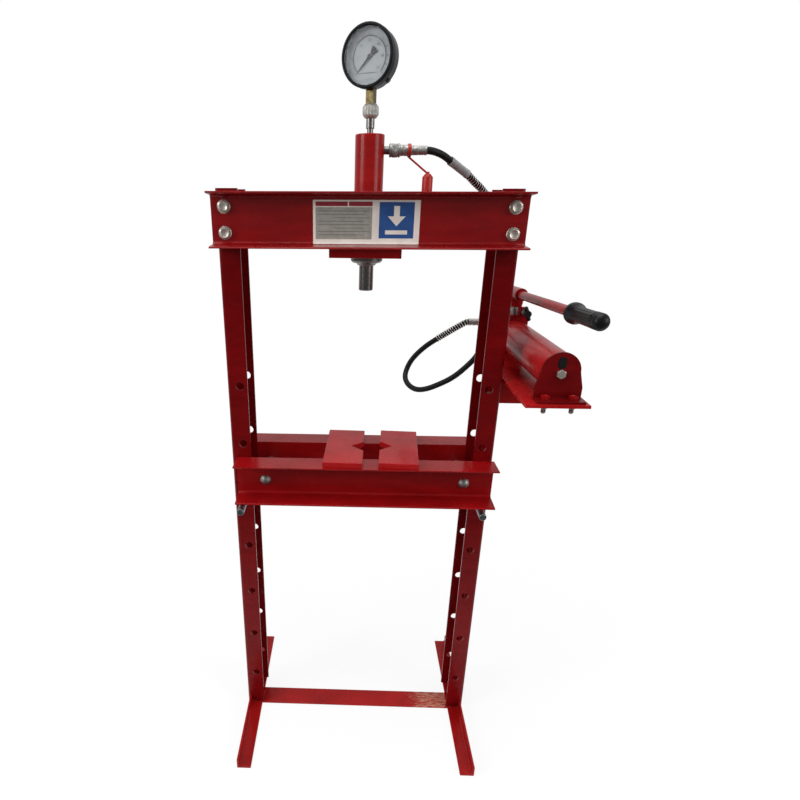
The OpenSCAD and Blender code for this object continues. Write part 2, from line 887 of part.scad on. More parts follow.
module gauge_lens() {
    color([0.9, 0.93, 0.95, 0.35]) gauge_frame() translate([0, 0, case_front])
        cylinder(h = lens_t, d = case_d - fit_play);
}

module gauge_dial() {
    color("white") gauge_frame() translate([0, 0, dial_seat]) difference() {
        cylinder(h = dial_t, r = case_r - case_wall - fit_play / 2);
        translate([0, 0, -over]) cylinder(h = dial_t + 2 * over, d = pivot_d + hole_play);
    }
}

// Tapered pointer with a wedge tail, a hub and its pivot shaft, at rest on the lower left stop
module gauge_pointer() {
    z = dial_seat + dial_t + pointer_lift;
    tip = dial_d * 0.4;
    tail = dial_d * 0.18;
    color(rubber) gauge_frame() {
        rotate([0, 0, 225]) translate([0, 0, z]) linear_extrude(pointer_t)
            polygon([[tip, -0.4], [tip, 0.4], [0, 1.4], [-tail, 3.2], [-tail, -3.2], [0, -1.4]]);
        translate([0, 0, z - over]) cylinder(h = pointer_t + 1.5 * over, d = 2 * pivot_d);
        translate([0, 0, case_back + 2 * case_wall]) cylinder(h = z - case_back - 2 * case_wall, d = pivot_d);
    }
}

// Bent pressure tube on its root, with the post that carries the pointer
module bourdon_tube() {
    boss = pivot_d + 5;
    reach = case_r - case_root;
    color(brass) gauge_frame() difference() {
        union() {
            translate([0, 0, case_back + case_wall]) cylinder(h = tube_z - case_back, d = boss);
            translate([0, 0, tube_z]) rotate([0, 0, -90])
                rotate_extrude(angle = 250) translate([tube_r, 0]) circle(d = tube_d);
            translate([-boss / 2, -reach, tube_z - tube_d]) cube([boss, reach, tube_d]);
        }
        translate([0, 0, case_back + 2 * case_wall]) cylinder(h = case_depth, d = pivot_d + run_play);
    }
}

// Screwed nipple in the barrel's port
module port_nipple() {
    x0 = barrel_bore / 2 + over;
    x1 = barrel_d / 2;
    color(steel) translate([0, 0, port_z]) difference() {
        union() {
            rod_x(screw_d, x0, x1 + nipple_l);
            rod_x(screw_d + 2, x1, x1 + nipple_l);
            rod_x(fitting_d, x1 + nipple_l - over, x1 + nipple_l + coupler_deep);
        }
        rod_x(port_bore, x0 - over, x1 + nipple_l + coupler_deep + over);
    }
}

// Coupler: knurled ring, neck, and a bore from each side
module coupler() {
    l = coupler_l + collar_l;
    color(zinc) translate([coupler_x, 0, port_z]) difference() {
        union() {
            rotate([0, 90, 0]) rotate_extrude() polygon([
                [0, 0], [coupler_d / 2 - chamfer, 0], [coupler_d / 2, chamfer],
                [coupler_d / 2, coupler_l - chamfer], [coupler_d / 2 - chamfer, coupler_l], [0, coupler_l],
            ]);
            rod_x(collar_d, 0, l);
        }
        rod_x(fitting_d + fit_play, -over, coupler_deep + fit_play);
        rod_x(port_bore, 0, l + over);
        rod_x(screw_d + fit_play, l - screw_l - fit_play, l + over);
    }
}

// Dust cap, strap and ring in one moulding
module dust_cap() {
    ring_x = coupler_x + coupler_l + collar_l - ring_w - over;
    cap_x = ring_x + dust_reach;
    cap_top = port_z - dust_drop;
    color("#e8402a") {
        translate([0, 0, port_z]) difference() {
            rod_x(collar_d + fit_play + 2 * ring_t, ring_x, ring_x + ring_w);
            rod_x(collar_d + fit_play, ring_x - over, ring_x + ring_w + over);
        }
        hull() {
            translate([ring_x + ring_w / 2, 0, port_z - collar_d / 2 - ring_t]) sphere(d = strap_d, $fn = 16);
            translate([cap_x, 0, cap_top]) sphere(d = strap_d, $fn = 16);
        }
        translate([cap_x, 0, cap_top - dust_h]) rotate_extrude() polygon([
            [dust_d / 2 - dust_wall, 0], [dust_d / 2, 0], [dust_d / 2, dust_h - 5], [dust_d / 2 - 4, dust_h],
            [0, dust_h], [0, dust_h - 2 * dust_wall], [dust_d / 2 - dust_wall, dust_h - 2 * dust_wall],
        ]);
        translate([cap_x, 0, cap_top - over]) cylinder(h = 3 + over, d = strap_d + 2);
    }
}

// Crimped ferrule along x with its root pushed in the fitting at its left end
module ferrule(l) {
    difference() {
        union() {
            rod_x(screw_d, -screw_l, over);
            rod_x(ferrule_d, 0, l);
        }
        for (f = [0.45, 0.62, 0.79]) translate([f * l, 0, 0]) rotate([0, 90, 0]) difference() {
            cylinder(h = l * 0.06, d = ferrule_d + over);
            translate([0, 0, -over]) cylinder(h = l * 0.06 + 2 * over, d = ferrule_d - 1.2);
        }
    }
}

module upper_ferrule() {
    color(steel) translate([coupler_x + coupler_l + collar_l, 0, port_z]) ferrule(upper_ferrule_l);
}

module lower_ferrule() {
    color(zinc) translate([head_x - outlet_l, outlet_y, outlet_z])
        rotate([0, 0, 180]) ferrule(lower_ferrule_l);
}

module hose_tail() {
    color(rubber) route_tube(tail_span, hose_d);
}

module hose_sleeve() {
    color("#7c7f83") route_tube(sleeve_span, sleeve_d);
}

module upper_spring_guard() {
    color(zinc) route_tube(upper_guard_span, guard_d);
}

module hose_tube() {
    color(rubber) route_tube(hose_span, hose_d);
}

module lower_spring_guard() {
    color(zinc) route_tube(lower_guard_span, guard_d);
}

// Hexagon fitting screwed into the left side of the pump head
module outlet_fitting() {
    color(zinc) translate([head_x, outlet_y, outlet_z]) difference() {
        union() {
            rotate([0, -90, 0]) hex_prism(outlet_af, outlet_l);
            rod_x(fitting_d, -over, screw_l);
        }
        rod_x(screw_d + fit_play, -outlet_l - over, fit_play + screw_l - outlet_l);
        rod_x(port_bore, -outlet_l, screw_l + over);
    }
}

// Places of the bracket's bolts, on the outside of the mounting plate
module at_mount_bolts() {
    for (z = mount_bolt_zs) translate([mount_x, mount_bolt_y, z]) children();
}

// Places of the pump's bolts on the shelf, with the thickness that each one clamps
module at_end_bolts() {
    for (s = [-1, 1]) translate([pump_axis + s * end_bolt_span / 2, end_bolt_y, shelf_top]) children();
}

module at_head_bolts() {
    for (s = [-1, 1]) translate([pump_axis + s * head_bolt_x, head_foot_y, shelf_top]) children();
}

// Shelf, gusset and mounting plate, welded into one
module pump_bracket() {
    tip = shelf_w - 10;
    low = shelf_under - gusset_h;
    color(red) difference() {
        union() {
            translate([post_x, -shelf_t / 2, low]) cube([mount_t, mount_back + shelf_t / 2, shelf_top - low]);
            translate([mount_x, shelf_front, shelf_under]) cube([shelf_w, shelf_back - shelf_front, shelf_t]);
            translate([mount_x, shelf_t / 2, 0]) rotate([90, 0, 0]) linear_extrude(shelf_t)
                polygon([
                    [0, low], [shelf_w * 0.43, low], [tip, shelf_under - 8], [tip, shelf_under],
                    [0, shelf_under],
                ]);
        }
        at_mount_bolts() rod_x(small_d + hole_play, -mount_t - over, over);
        at_end_bolts() translate([0, 0, -shelf_t - over])
            cylinder(h = shelf_t + 2 * over, d = small_d + hole_play);
        at_head_bolts() translate([0, 0, -shelf_t - over])
            cylinder(h = shelf_t + 2 * over, d = small_d + hole_play);
    }
}

// Bolt and nut that clamp a thickness t below z = 0, with an end that stands out of the nut
module small_bolt(t, end) {
    hex_bolt(small_d, small_af, small_head, t + small_head + end);
    translate([0, 0, -t]) rotate([180, 0, 0]) hex_nut(small_d, small_af, small_head);
}

module bracket_bolts() {
    color(zinc) at_mount_bolts() rotate([0, 90, 0]) small_bolt(mount_t + post_t, bolt_end);
}

module pump_bolts() {
    color(zinc) {
        at_end_bolts() translate([0, 0, end_t]) small_bolt(end_t + shelf_t, shelf_bolt_end);
        at_head_bolts() translate([0, 0, head_foot_t]) small_bolt(head_foot_t + shelf_t, shelf_bolt_end);
    }
}

module reservoir() {
    color(red) translate([pump_axis, 0, tank_z]) difference() {
        rod_y(tank_d, tank_y, head_y);
        rod_y(tank_d - 2 * tank_wall, tank_y - over, head_y + over);
    }
}

// Arched end plate with a bent foot, the tie bolt's hole and a filler recess
module reservoir_end_plate() {
    half = end_w / 2;
    r = tank_d / 2;
    arch = tank_rise + end_rise;
    front = tank_y - end_t;
    color(red) translate([pump_axis, 0, shelf_top]) difference() {
        union() {
            translate([0, tank_y, 0]) rotate([90, 0, 0]) linear_extrude(end_t) {
                polygon([[-half, 0], [half, 0], [half, end_side], [r, arch], [-r, arch], [-half, end_side]]);
                translate([0, arch]) circle(r);
            }
            translate([-half, front - end_flange, 0]) cube([end_w, end_flange + end_t, end_t]);
        }
        translate([0, 0, tank_rise]) rod_y(small_d + hole_play, front - over, tank_y + over);
        for (s = [-1, 1]) translate([s * end_bolt_span / 2, end_bolt_y, -over])
            cylinder(h = end_t + 2 * over, d = small_d + hole_play);
        for (z = [0, filler_l - filler_w]) translate([0, 0, tank_rise + filler_rise + z])
            rod_y(filler_w, front - over, front + end_t / 2);
        translate([-filler_w / 2, front - over, tank_rise + filler_rise])
            cube([filler_w, end_t / 2 + over, filler_l - filler_w]);
    }
}

// Long bolt through the reservoir into the pump head
module tie_bolt() {
    color(zinc) translate([pump_axis, tank_y - end_t, tank_z]) rotate([90, 0, 0])
        hex_bolt(small_d, small_af, small_head, end_t + tank_l + screw_l);
}

// Block with the plunger's bore, the valve's boss, the lever's ears and a foot
module pump_head() {
    color(dark_red) translate([pump_axis, 0, 0]) difference() {
        union() {
            translate([0, head_y, shelf_top]) linear_extrude(head_h) polygon([
                [-head_w / 2, 0], [head_w / 2, 0], [head_w / 2, head_l - head_cut],
                [head_w / 2 - head_cut, head_l],
                [head_cut - head_w / 2, head_l], [-head_w / 2, head_l - head_cut],
            ]);
            translate([-head_foot_w / 2, head_foot_y - head_foot_l / 2, shelf_top])
                cube([head_foot_w, head_foot_l, head_foot_t]);
            translate([valve_x, 0, valve_z]) rod_y(valve_boss_d, head_y, head_y + valve_boss_l);
            translate([valve_x - valve_boss_d / 2, head_y, head_top - over])
                cube([valve_boss_d, valve_boss_l, valve_z - head_top + over]);
            for (s = [-1, 1]) translate([s * (ear_gap + ear_t / 2) - ear_t / 2, 0, 0]) ear();
        }
        translate([0, plunger_y, head_top - plunger_deep]) cylinder(h = head_h, d = plunger_d + run_play);
        translate([valve_x, 0, valve_z]) rod_y(valve_d + run_play, head_y - over, head_y + valve_deep);
        translate([0, 0, tank_z]) rod_y(small_d + fit_play, head_y - over, head_y + screw_l + over);
        translate([0, outlet_y, outlet_z])
            rod_x(fitting_d + fit_play, -head_w, screw_l + fit_play - head_w / 2);
        at_lever_pin() rod_x(lever_pin_d + fit_play, -head_w, head_w);
        for (s = [-1, 1]) translate([s * head_bolt_x, head_foot_y, shelf_top - over])
            cylinder(h = head_foot_t + 2 * over, d = small_d + hole_play);
    }
}

// One ear of the pump head, from x = 0, rounded about the lever pin
module ear() {
    translate([0, pivot_y - ear_r, head_top - over]) cube([ear_t, 2 * ear_r, pivot_rise + over]);
    at_lever_pin() rod_x(2 * ear_r, 0, ear_t);
}

module at_lever_pin() {
    translate([0, pivot_y, pivot_z]) children();
}

// Plunger with a small collar above the head
module plunger() {
    color(zinc) translate([pump_axis, plunger_y, 0]) {
        translate([0, 0, head_top - plunger_deep + over])
            cylinder(h = pad_z - rest_gap - head_top + plunger_deep - over, d = plunger_d);
    }
}

// Lever frame: the pivot at the origin, the handle towards -y along its own tilt
module lever_tilt() {
    rotate([-handle_tilt, 0, 0]) translate([0, 0, handle_rise]) children();
}

// Socket tube with the lug on the pivot and the pad over the plunger
module lever_socket() {
    color(red) translate([pump_axis, 0, 0]) at_lever_pin() difference() {
        union() {
            lever_tilt() rod_y(socket_d, -socket_l, ear_r);
            rod_x(2 * ear_r - 2, -lever_half, lever_half);
            translate([-lever_half, 2 - ear_r, 0]) cube([2 * lever_half, 2 * ear_r - 4, handle_rise]);
            translate([-pad_half, -lever_arm - plunger_d / 2 - 3, -pad_drop])
                cube([2 * pad_half, lever_arm + plunger_d / 2 + 3, pad_drop + handle_rise]);
        }
        rod_x(lever_pin_d + run_play, -head_w, head_w);
        lever_tilt() rod_y(handle_d + fit_play, -socket_l - over, -handle_in);
    }
}

// Pin with a flat head on the right and a rounded end on the left
module lever_pin() {
    half = ear_gap + ear_t;
    color(zinc) translate([pump_axis, 0, 0]) at_lever_pin() {
        rod_x(lever_pin_d, -half - bolt_end, half + over);
        rod_x(lever_pin_d * 1.5, half, half + bolt_end);
    }
}

module pump_handle() {
    color(red) translate([pump_axis, 0, 0]) at_lever_pin() lever_tilt() difference() {
        rod_y(handle_d, grip_wall - handle_l, -handle_in - fit_play);
        rod_y(handle_d - 2 * handle_wall, grip_wall - handle_l - over, over);
    }
}

// Moulded grip: collar at the inner end, rounded outer end
module handle_grip() {
    r = grip_d / 2;
    bore = (handle_d + fit_play) / 2;
    collar = grip_collar_d / 2;
    color(rubber) translate([pump_axis, 0, 0]) at_lever_pin() lever_tilt()
        translate([0, -handle_l, 0]) rotate([-90, 0, 0]) difference() {
            union() {
                translate([0, 0, grip_round]) rotate_extrude() polygon([
                    [0, 0], [r, 0], [r, grip_l - grip_round - 24], [collar, grip_l - grip_round - 14],
                    [collar, grip_l - grip_round - 3], [collar - 2, grip_l - grip_round],
                    [0, grip_l - grip_round],
                ]);
                intersection() {
                    translate([0, 0, grip_dome_r]) sphere(r = grip_dome_r);
                    cylinder(h = grip_round + over, r = r);
                }
            }
            translate([0, 0, grip_wall - fit_play]) cylinder(h = grip_l, r = bore);
        }
}

// Valve stem with its bright collar
module release_stem() {
    color(zinc) translate([pump_axis + valve_x, head_y, valve_z]) {
        rod_y(valve_d, -valve_collar_l - knob_l / 2, valve_deep - over);
        rod_y(valve_d + 5, -valve_collar_l, -rest_gap);
    }
}

// T knob moulded on the stem
module release_knob() {
    color(rubber) translate([pump_axis + valve_x, head_y - valve_collar_l, valve_z]) difference() {
        union() {
            rod_y(knob_d, -knob_l, 0);
            rotate([0, -knob_turn, 0]) translate([0, -knob_l / 2, 0]) {
                cylinder(h = knob_bar - knob_bar_d, d = knob_bar_d, center = true);
                for (s = [-1, 1]) translate([0, 0, s * (knob_bar - knob_bar_d) / 2]) sphere(d = knob_bar_d);
            }
        }
        rod_y(valve_d + fit_play, -knob_l / 2 - fit_play, over);
    }
}

module bed_rear_channel() {
    color(red) difference() {
        translate([bed_shift, bed_web, bed_bottom + bed_h / 2])
            rolled_channel(bed_l, bed_h, bed_flange, bed_t);
        for (x = bed_bolt_xs) translate([x, 0, bed_bolt_z])
            rod_y(bed_bolt_d + hole_play, bed_web - over, bed_web + bed_t + over);
    }
}

module bed_front_channel() {
    mirror([0, 1, 0]) bed_rear_channel();
}

module bed_spacers() {
    color(zinc) for (x = bed_bolt_xs) translate([x, 0, bed_bolt_z]) difference() {
        rod_y(spacer_d, -bed_web, bed_web);
        rod_y(bed_bolt_d + hole_play, -bed_web - over, bed_web + over);
    }
}

// Through bolts with a domed head at the front and a nut at the back
module bed_bolts() {
    face = bed_web + bed_t;
    dome_r = (pow(bed_head_d / 2, 2) + pow(bed_head_h, 2)) / (2 * bed_head_h);
    color(zinc) for (x = bed_bolt_xs) translate([x, 0, bed_bolt_z]) {
        rod_y(bed_bolt_d, -face - bed_head_h / 2, face + bed_nut_h + bolt_end);
        translate([0, -face, 0]) rotate([90, 0, 0]) intersection() {
            translate([0, 0, bed_head_h - dome_r]) sphere(r = dome_r);
            cylinder(h = bed_head_h + over, d = bed_head_d + over);
        }
        translate([0, face, 0]) rotate([-90, 0, 0]) hex_nut(bed_bolt_d, bed_nut_af, bed_nut_h);
    }
}

// Plain pin with chamfered ends, along y
module bed_pin() {
    r = pin_d / 2;
    translate([0, -pin_l / 2, pin_z]) rotate([-90, 0, 0]) rotate_extrude() polygon([
        [0, 0], [r - chamfer, 0], [r, chamfer], [r, pin_l - chamfer], [r - chamfer, pin_l], [0, pin_l],
    ]);
}

module left_bed_pin() {
    color(steel) translate([-pin_x, 0, 0]) bed_pin();
}

module right_bed_pin() {
    color(steel) translate([pin_x, 0, 0]) bed_pin();
}

// Arbor plate centred on the origin, its notch towards +x
module arbor_plate() {
    w = plate_w / 2;
    l = plate_l / 2;
    m = notch_w / 2;
    linear_extrude(plate_t) polygon([
        [-w, -l], [w, -l], [w, -m], [w - notch_d, 0], [w, m], [w, l], [-w, l],
    ]);
}

module left_arbor_plate() {
    color(red) translate([plate_shift - (plate_gap + plate_w) / 2, 0, bed_top]) rotate([0, 0, -left_turn])
        arbor_plate();
}

module right_arbor_plate() {
    color(red) translate([plate_shift + (plate_gap + plate_w) / 2, 0, bed_top])
        rotate([0, 0, 180 - right_turn])
        arbor_plate();
}

left_post();
right_post();
left_foot();
right_foot();
base_crossbar();
front_beam();
rear_beam();
beam_bolts();
beam_washers();
beam_nuts();
cylinder_plate();
cylinder_barrel();
cylinder_cap();
rod_gland();
ram_rod();
ram_piston();
piston_seal();
return_spring();
gauge_nipple();
gauge_nut();
gauge_stem();
gauge_case();
gauge_bezel();
gauge_lens();
gauge_dial();
gauge_pointer();
bourdon_tube();
port_nipple();
coupler();
dust_cap();
upper_ferrule();
hose_tail();
hose_sleeve();
upper_spring_guard();
hose_tube();
lower_spring_guard();
lower_ferrule();
outlet_fitting();
pump_bracket();
bracket_bolts();
reservoir();
reservoir_end_plate();
pump_bolts();
tie_bolt();
pump_head();
plunger();
lever_socket();
lever_pin();
pump_handle();
handle_grip();
release_stem();
release_knob();
bed_front_channel();
bed_rear_channel();
bed_spacers();
bed_bolts();
left_bed_pin();
right_bed_pin();
left_arbor_plate();
right_arbor_plate();
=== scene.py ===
# %% [markdown]
# # Dressing a hydraulic shop press
# The press is a welded and bolted steel frame with a hand pump, so nearly every part of it is a plain
# piece of metal, and the looks come from paint, plating, rubber and small hardware. The solid parts are
# loaded as a fixed frame, and this lesson puts the finishes, the fasteners, the hose and the dial on it.

# %% Load the frame
import json
import math

import bmesh
import bpy
from mathutils import Matrix, Vector

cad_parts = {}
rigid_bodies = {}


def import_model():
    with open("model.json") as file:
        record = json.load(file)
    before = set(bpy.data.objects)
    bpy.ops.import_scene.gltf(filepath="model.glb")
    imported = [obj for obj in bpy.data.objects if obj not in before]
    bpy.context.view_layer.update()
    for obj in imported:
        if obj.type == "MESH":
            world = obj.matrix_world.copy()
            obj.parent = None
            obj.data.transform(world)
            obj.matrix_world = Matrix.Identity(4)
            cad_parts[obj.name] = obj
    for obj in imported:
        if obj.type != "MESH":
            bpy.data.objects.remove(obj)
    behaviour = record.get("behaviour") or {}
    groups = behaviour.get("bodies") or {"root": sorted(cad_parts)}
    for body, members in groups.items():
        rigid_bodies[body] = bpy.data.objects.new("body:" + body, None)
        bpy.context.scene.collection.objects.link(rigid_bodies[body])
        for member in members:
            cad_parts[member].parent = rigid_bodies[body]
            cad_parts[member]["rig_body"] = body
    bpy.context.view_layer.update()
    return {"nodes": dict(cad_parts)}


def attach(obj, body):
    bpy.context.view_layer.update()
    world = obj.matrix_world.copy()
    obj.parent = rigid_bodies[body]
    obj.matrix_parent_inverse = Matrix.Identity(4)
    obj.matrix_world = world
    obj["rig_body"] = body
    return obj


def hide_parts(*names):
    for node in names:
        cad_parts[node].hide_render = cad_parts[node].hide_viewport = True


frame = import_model()
MM = 0.001
nodes = frame["nodes"]


def placed(name, data):
    """A new object in the scene, at the origin."""
    made = bpy.data.objects.new(name, data)
    bpy.context.scene.collection.objects.link(made)
    return made


# %% [markdown]
# ## Camera
# The press was photographed from in front at head height, looking down a little with a wide lens. The
# frame's parallel edges gave the lens length in pixels, the place of the camera and the point where the
# lens axis meets the picture. That point is off the middle, so the camera gets a small shift.

# %% Camera
PICTURE_PX = 800
LENS_PX = 594.2
AXIS_PX = (327.3, 470.0)
CAMERA_AT = Vector((-25.7, -1065.4, 1045.2)) * MM
YAW, PITCH, ROLL = (math.radians(a) for a in (-2.13, 23.99, 0.18))

camera_data = bpy.data.cameras.new("photo_camera")
camera_data.sensor_width = 36.0
camera_data.lens = LENS_PX * camera_data.sensor_width / PICTURE_PX
camera_data.shift_x = (PICTURE_PX / 2 - AXIS_PX[0]) / PICTURE_PX
camera_data.shift_y = (AXIS_PX[1] - PICTURE_PX / 2) / PICTURE_PX
ahead = Vector((math.sin(YAW) * math.cos(PITCH), math.cos(YAW) * math.cos(PITCH), -math.sin(PITCH)))
level = Vector((math.cos(YAW), -math.sin(YAW), 0.0))
upright = level.cross(ahead)
right = math.cos(ROLL) * level + math.sin(ROLL) * upright
up = -math.sin(ROLL) * level + math.cos(ROLL) * upright
camera = placed("photo_camera", camera_data)
turn = Matrix((right, up, -ahead)).transposed()
camera.matrix_world = Matrix.Translation(CAMERA_AT) @ turn.to_4x4()
bpy.context.scene.camera = camera
print("lens %.1f mm, shift %.3f, %.3f" % (camera_data.lens, camera_data.shift_x, camera_data.shift_y))

# %% [markdown]
# ## Small helpers for nodes and colours
# Colours are written as sRGB hex values, as a paint chart gives them, and turned to linear light. One
# function adds a node with its settings and links, for material trees and for Geometry Nodes alike. Short
# ones write a sum, a range, a noise or a colour ramp in one line and hand back the socket of its result.

# %% Helpers for nodes and colours


def paint(code):
    """A hex colour as linear red, green, blue, alpha."""
    srgb = [int(code[i:i + 2], 16) / 255 for i in (1, 3, 5)]
    return [c / 12.92 if c <= 0.04045 else ((c + 0.055) / 1.055) ** 2.4 for c in srgb] + [1.0]


def grey(value):
    """A linear grey, for ramps that give a number."""
    return [value, value, value, 1.0]


def feed(tree, node, inputs):
    """Sets a node's inputs to values, or links them to the sockets that feed them."""
    for key, value in inputs.items():
        if isinstance(value, bpy.types.NodeSocket):
            tree.links.new(value, node.inputs[key])
        else:
            node.inputs[key].default_value = value


def add(tree, kind, inputs=None, **settings):
    """A node of that kind with its settings, its inputs fed."""
    made = tree.nodes.new(kind)
    for key, value in settings.items():
        setattr(made, key, value)
    feed(tree, made, inputs or {})
    return made


def calc(tree, operation, *values):
    """The result of a math node on values or sockets."""
    return add(tree, "ShaderNodeMath", dict(enumerate(values)), operation=operation).outputs[0]


def vector_calc(tree, operation, inputs):
    """A vector math node with its inputs fed."""
    return add(tree, "ShaderNodeVectorMath", inputs, operation=operation)


def spread(tree, value, low, high, to_low=0.0, to_high=1.0, kind="LINEAR"):
    """A value mapped from one range to another and held at its ends."""
    limits = {"From Min": low, "From Max": high, "To Min": to_low, "To Max": to_high}
    return add(tree, "ShaderNodeMapRange", {"Value": value, **limits}, interpolation_type=kind).outputs[0]


def own_place(tree):
    """Where a point is in its piece, as sockets for x, y and z in metres."""
    place = add(tree, "ShaderNodeTexCoord")
    return add(tree, "ShaderNodeSeparateXYZ", {0: place.outputs["Object"]}).outputs


def noise(tree, size_mm, detail=3.0, stretch=(1, 1, 1)):
    """Noise in the piece's own place, with blots of about that size."""
    place = add(tree, "ShaderNodeTexCoord")
    scaled = add(tree, "ShaderNodeMapping", {"Vector": place.outputs["Object"], "Scale": stretch})
    made = add(tree, "ShaderNodeTexNoise",
               {"Vector": scaled.outputs["Vector"], "Scale": 1.0 / (size_mm * MM), "Detail": detail})
    return made.outputs["Fac"]


def ramp(tree, factor, *stops):
    """The colour between two stops of (place, colour)."""
    made = add(tree, "ShaderNodeValToRGB", {"Fac": factor})
    for element, (position, colour) in zip(made.color_ramp.elements, stops):
        element.position, element.color = position, colour
    return made.outputs["Color"]


def new_finish(name):
    """An empty material, its tree and its shader."""
    material = bpy.data.materials.new(name)
    material.use_nodes = True
    tree = material.node_tree
    tree.nodes.clear()
    shader = add(tree, "ShaderNodeBsdfPrincipled")
    add(tree, "ShaderNodeOutputMaterial", {"Surface": shader.outputs["BSDF"]})
    return material, tree, shader


# %% [markdown]
# ## Stage and light
# A press this size is photographed on a white sweep, with the darker room in front of it. The floor
# keeps a soft shadow close to the feet and runs out to plain white. Shiny paint and plating mirror what
# stands round them, so the world is pale behind the press and grey on the camera's side, and the paper
# gives way to a dark workshop floor in front of the feet, which only the paint sees.

# %% World
# How white the sweep looks in shiny paint and where it starts, and how bright the room is there and as a
# light on the surfaces.
SWEEP_IN_PAINT = 0.58
SWEEP_STARTS = (-0.35, 0.45)
ROOM_IN_PAINT, ROOM_LIGHT = 0.24, 0.54

world = bpy.data.worlds.new("white_sweep_room")
world.use_nodes = True
bpy.context.scene.world = world
bpy.context.scene.view_settings.view_transform = "Standard"
sky = world.node_tree
sky.nodes.clear()
ray = add(sky, "ShaderNodeLightPath").outputs
seen = calc(sky, "MAXIMUM", ray["Is Camera Ray"], ray["Is Transmission Ray"])
way = add(sky, "ShaderNodeTexCoord")
toward = add(sky, "ShaderNodeSeparateXYZ", {0: way.outputs["Generated"]})
behind = spread(sky, toward.outputs["Y"], *SWEEP_STARTS, 0.0, SWEEP_IN_PAINT, "SMOOTHSTEP")
shown = calc(sky, "MAXIMUM", seen, calc(sky, "MULTIPLY", ray["Is Glossy Ray"], behind))
room_level = spread(sky, ray["Is Diffuse Ray"], 0.0, 1.0, ROOM_IN_PAINT, ROOM_LIGHT)
room_light = add(sky, "ShaderNodeBackground", {"Color": paint("#f6f8fa"), "Strength": room_level})
white = add(sky, "ShaderNodeBackground", {"Color": paint("#ffffff"), "Strength": 1.0})
mixed = add(sky, "ShaderNodeMixShader", {0: shown, 1: room_light.outputs[0], 2: white.outputs[0]})
add(sky, "ShaderNodeOutputWorld", {"Surface": mixed.outputs[0]})
print("world:", world.name)

# %% Floor
# In metres: where the dark floor ends and the paper starts, and how far the shadow shows from the middle.
FLOOR_HALF = 30.0
WORKSHOP_FLOOR_Y, PAPER_Y = -0.95, -0.25
SHADOW_NEAR, SHADOW_FAR = 0.3, 1.5
WHITE_NEAR = 0.86

floor_mesh = bpy.data.meshes.new("floor")
floor_mesh.from_pydata([(-FLOOR_HALF, -FLOOR_HALF, 0), (FLOOR_HALF, -FLOOR_HALF, 0),
                        (FLOOR_HALF, FLOOR_HALF, 0), (-FLOOR_HALF, FLOOR_HALF, 0)], [], [(0, 1, 2, 3)])
floor = placed("floor", floor_mesh)
sweep = bpy.data.materials.new("white_sweep_paper")
sweep.use_nodes = True
tree = sweep.node_tree
tree.nodes.clear()
ray = add(tree, "ShaderNodeLightPath").outputs
edge = spread(tree, own_place(tree)["Y"], WORKSHOP_FLOOR_Y, PAPER_Y)
ground = ramp(tree, edge, (0.0, paint("#6a6a6a")), (1.0, paint("#f2f2f2")))
paper = add(tree, "ShaderNodeBsdfDiffuse", {"Color": ground})
glow = add(tree, "ShaderNodeEmission", {"Color": paint("#ffffff"), "Strength": 1.0})
far = vector_calc(tree, "LENGTH", {0: add(tree, "ShaderNodeTexCoord").outputs["Object"]}).outputs["Value"]
run_out = spread(tree, far, SHADOW_NEAR, SHADOW_FAR, WHITE_NEAR, 1.0, "SMOOTHSTEP")
share = calc(tree, "MULTIPLY", ray["Is Camera Ray"], run_out)
both = add(tree, "ShaderNodeMixShader", {0: share, 1: paper.outputs[0], 2: glow.outputs[0]})
add(tree, "ShaderNodeOutputMaterial", {"Surface": both.outputs[0]})
floor_mesh.materials.append(sweep)

# %% Lamps


def lamp(name, at, aim, size, power):
    """A soft square lamp that looks at a point."""
    data = bpy.data.lights.new(name, "AREA")
    data.size, data.energy = size, power
    made = placed(name, data)
    aimed = (Vector(aim) - Vector(at)).to_track_quat("-Z", "Y").to_matrix().to_4x4()
    made.matrix_world = Matrix.Translation(at) @ aimed


lamp("ceiling_panel", (-0.2, -0.3, 3.3), (0.0, 0.0, 0.7), 2.4, 62)
lamp("window_left", (-2.7, -1.5, 1.9), (0.0, 0.0, 0.8), 1.5, 48)
lamp("room_right", (2.7, -1.6, 1.7), (0.1, 0.0, 0.7), 1.5, 36)
print("lamps:", len(bpy.data.lights))

# %% [markdown]
# ## Finishes
# Each finish starts from what the real surface is. The frame wears one red enamel in nine copies, which
# differ a little in gloss and in lightness: the darker copies on the posts and the end plate are painted
# shade, and the lighter ones on the feet, cylinder, crossbar, reservoir, shelf and plates are painted light.
# The fasteners are zinc plated, the rod is ground steel, the stem is brass, and the rest is rubber and plastic.

# %% Red enamel
# Sprayed alkyd enamel over steel: glossy, with a fine orange peel, faint mottling where the coat is
# thicker, and streaks from wiping. The peel is drawn at 3 mm, coarser than real, so that it shows.
# Worn places are rougher than the coat and lie a little lower.
PEEL_MM, PEEL_DEPTH_MM = 3.0, 0.35
WIPED = (1, 1, 5)
LACQUER_IOR = 1.5


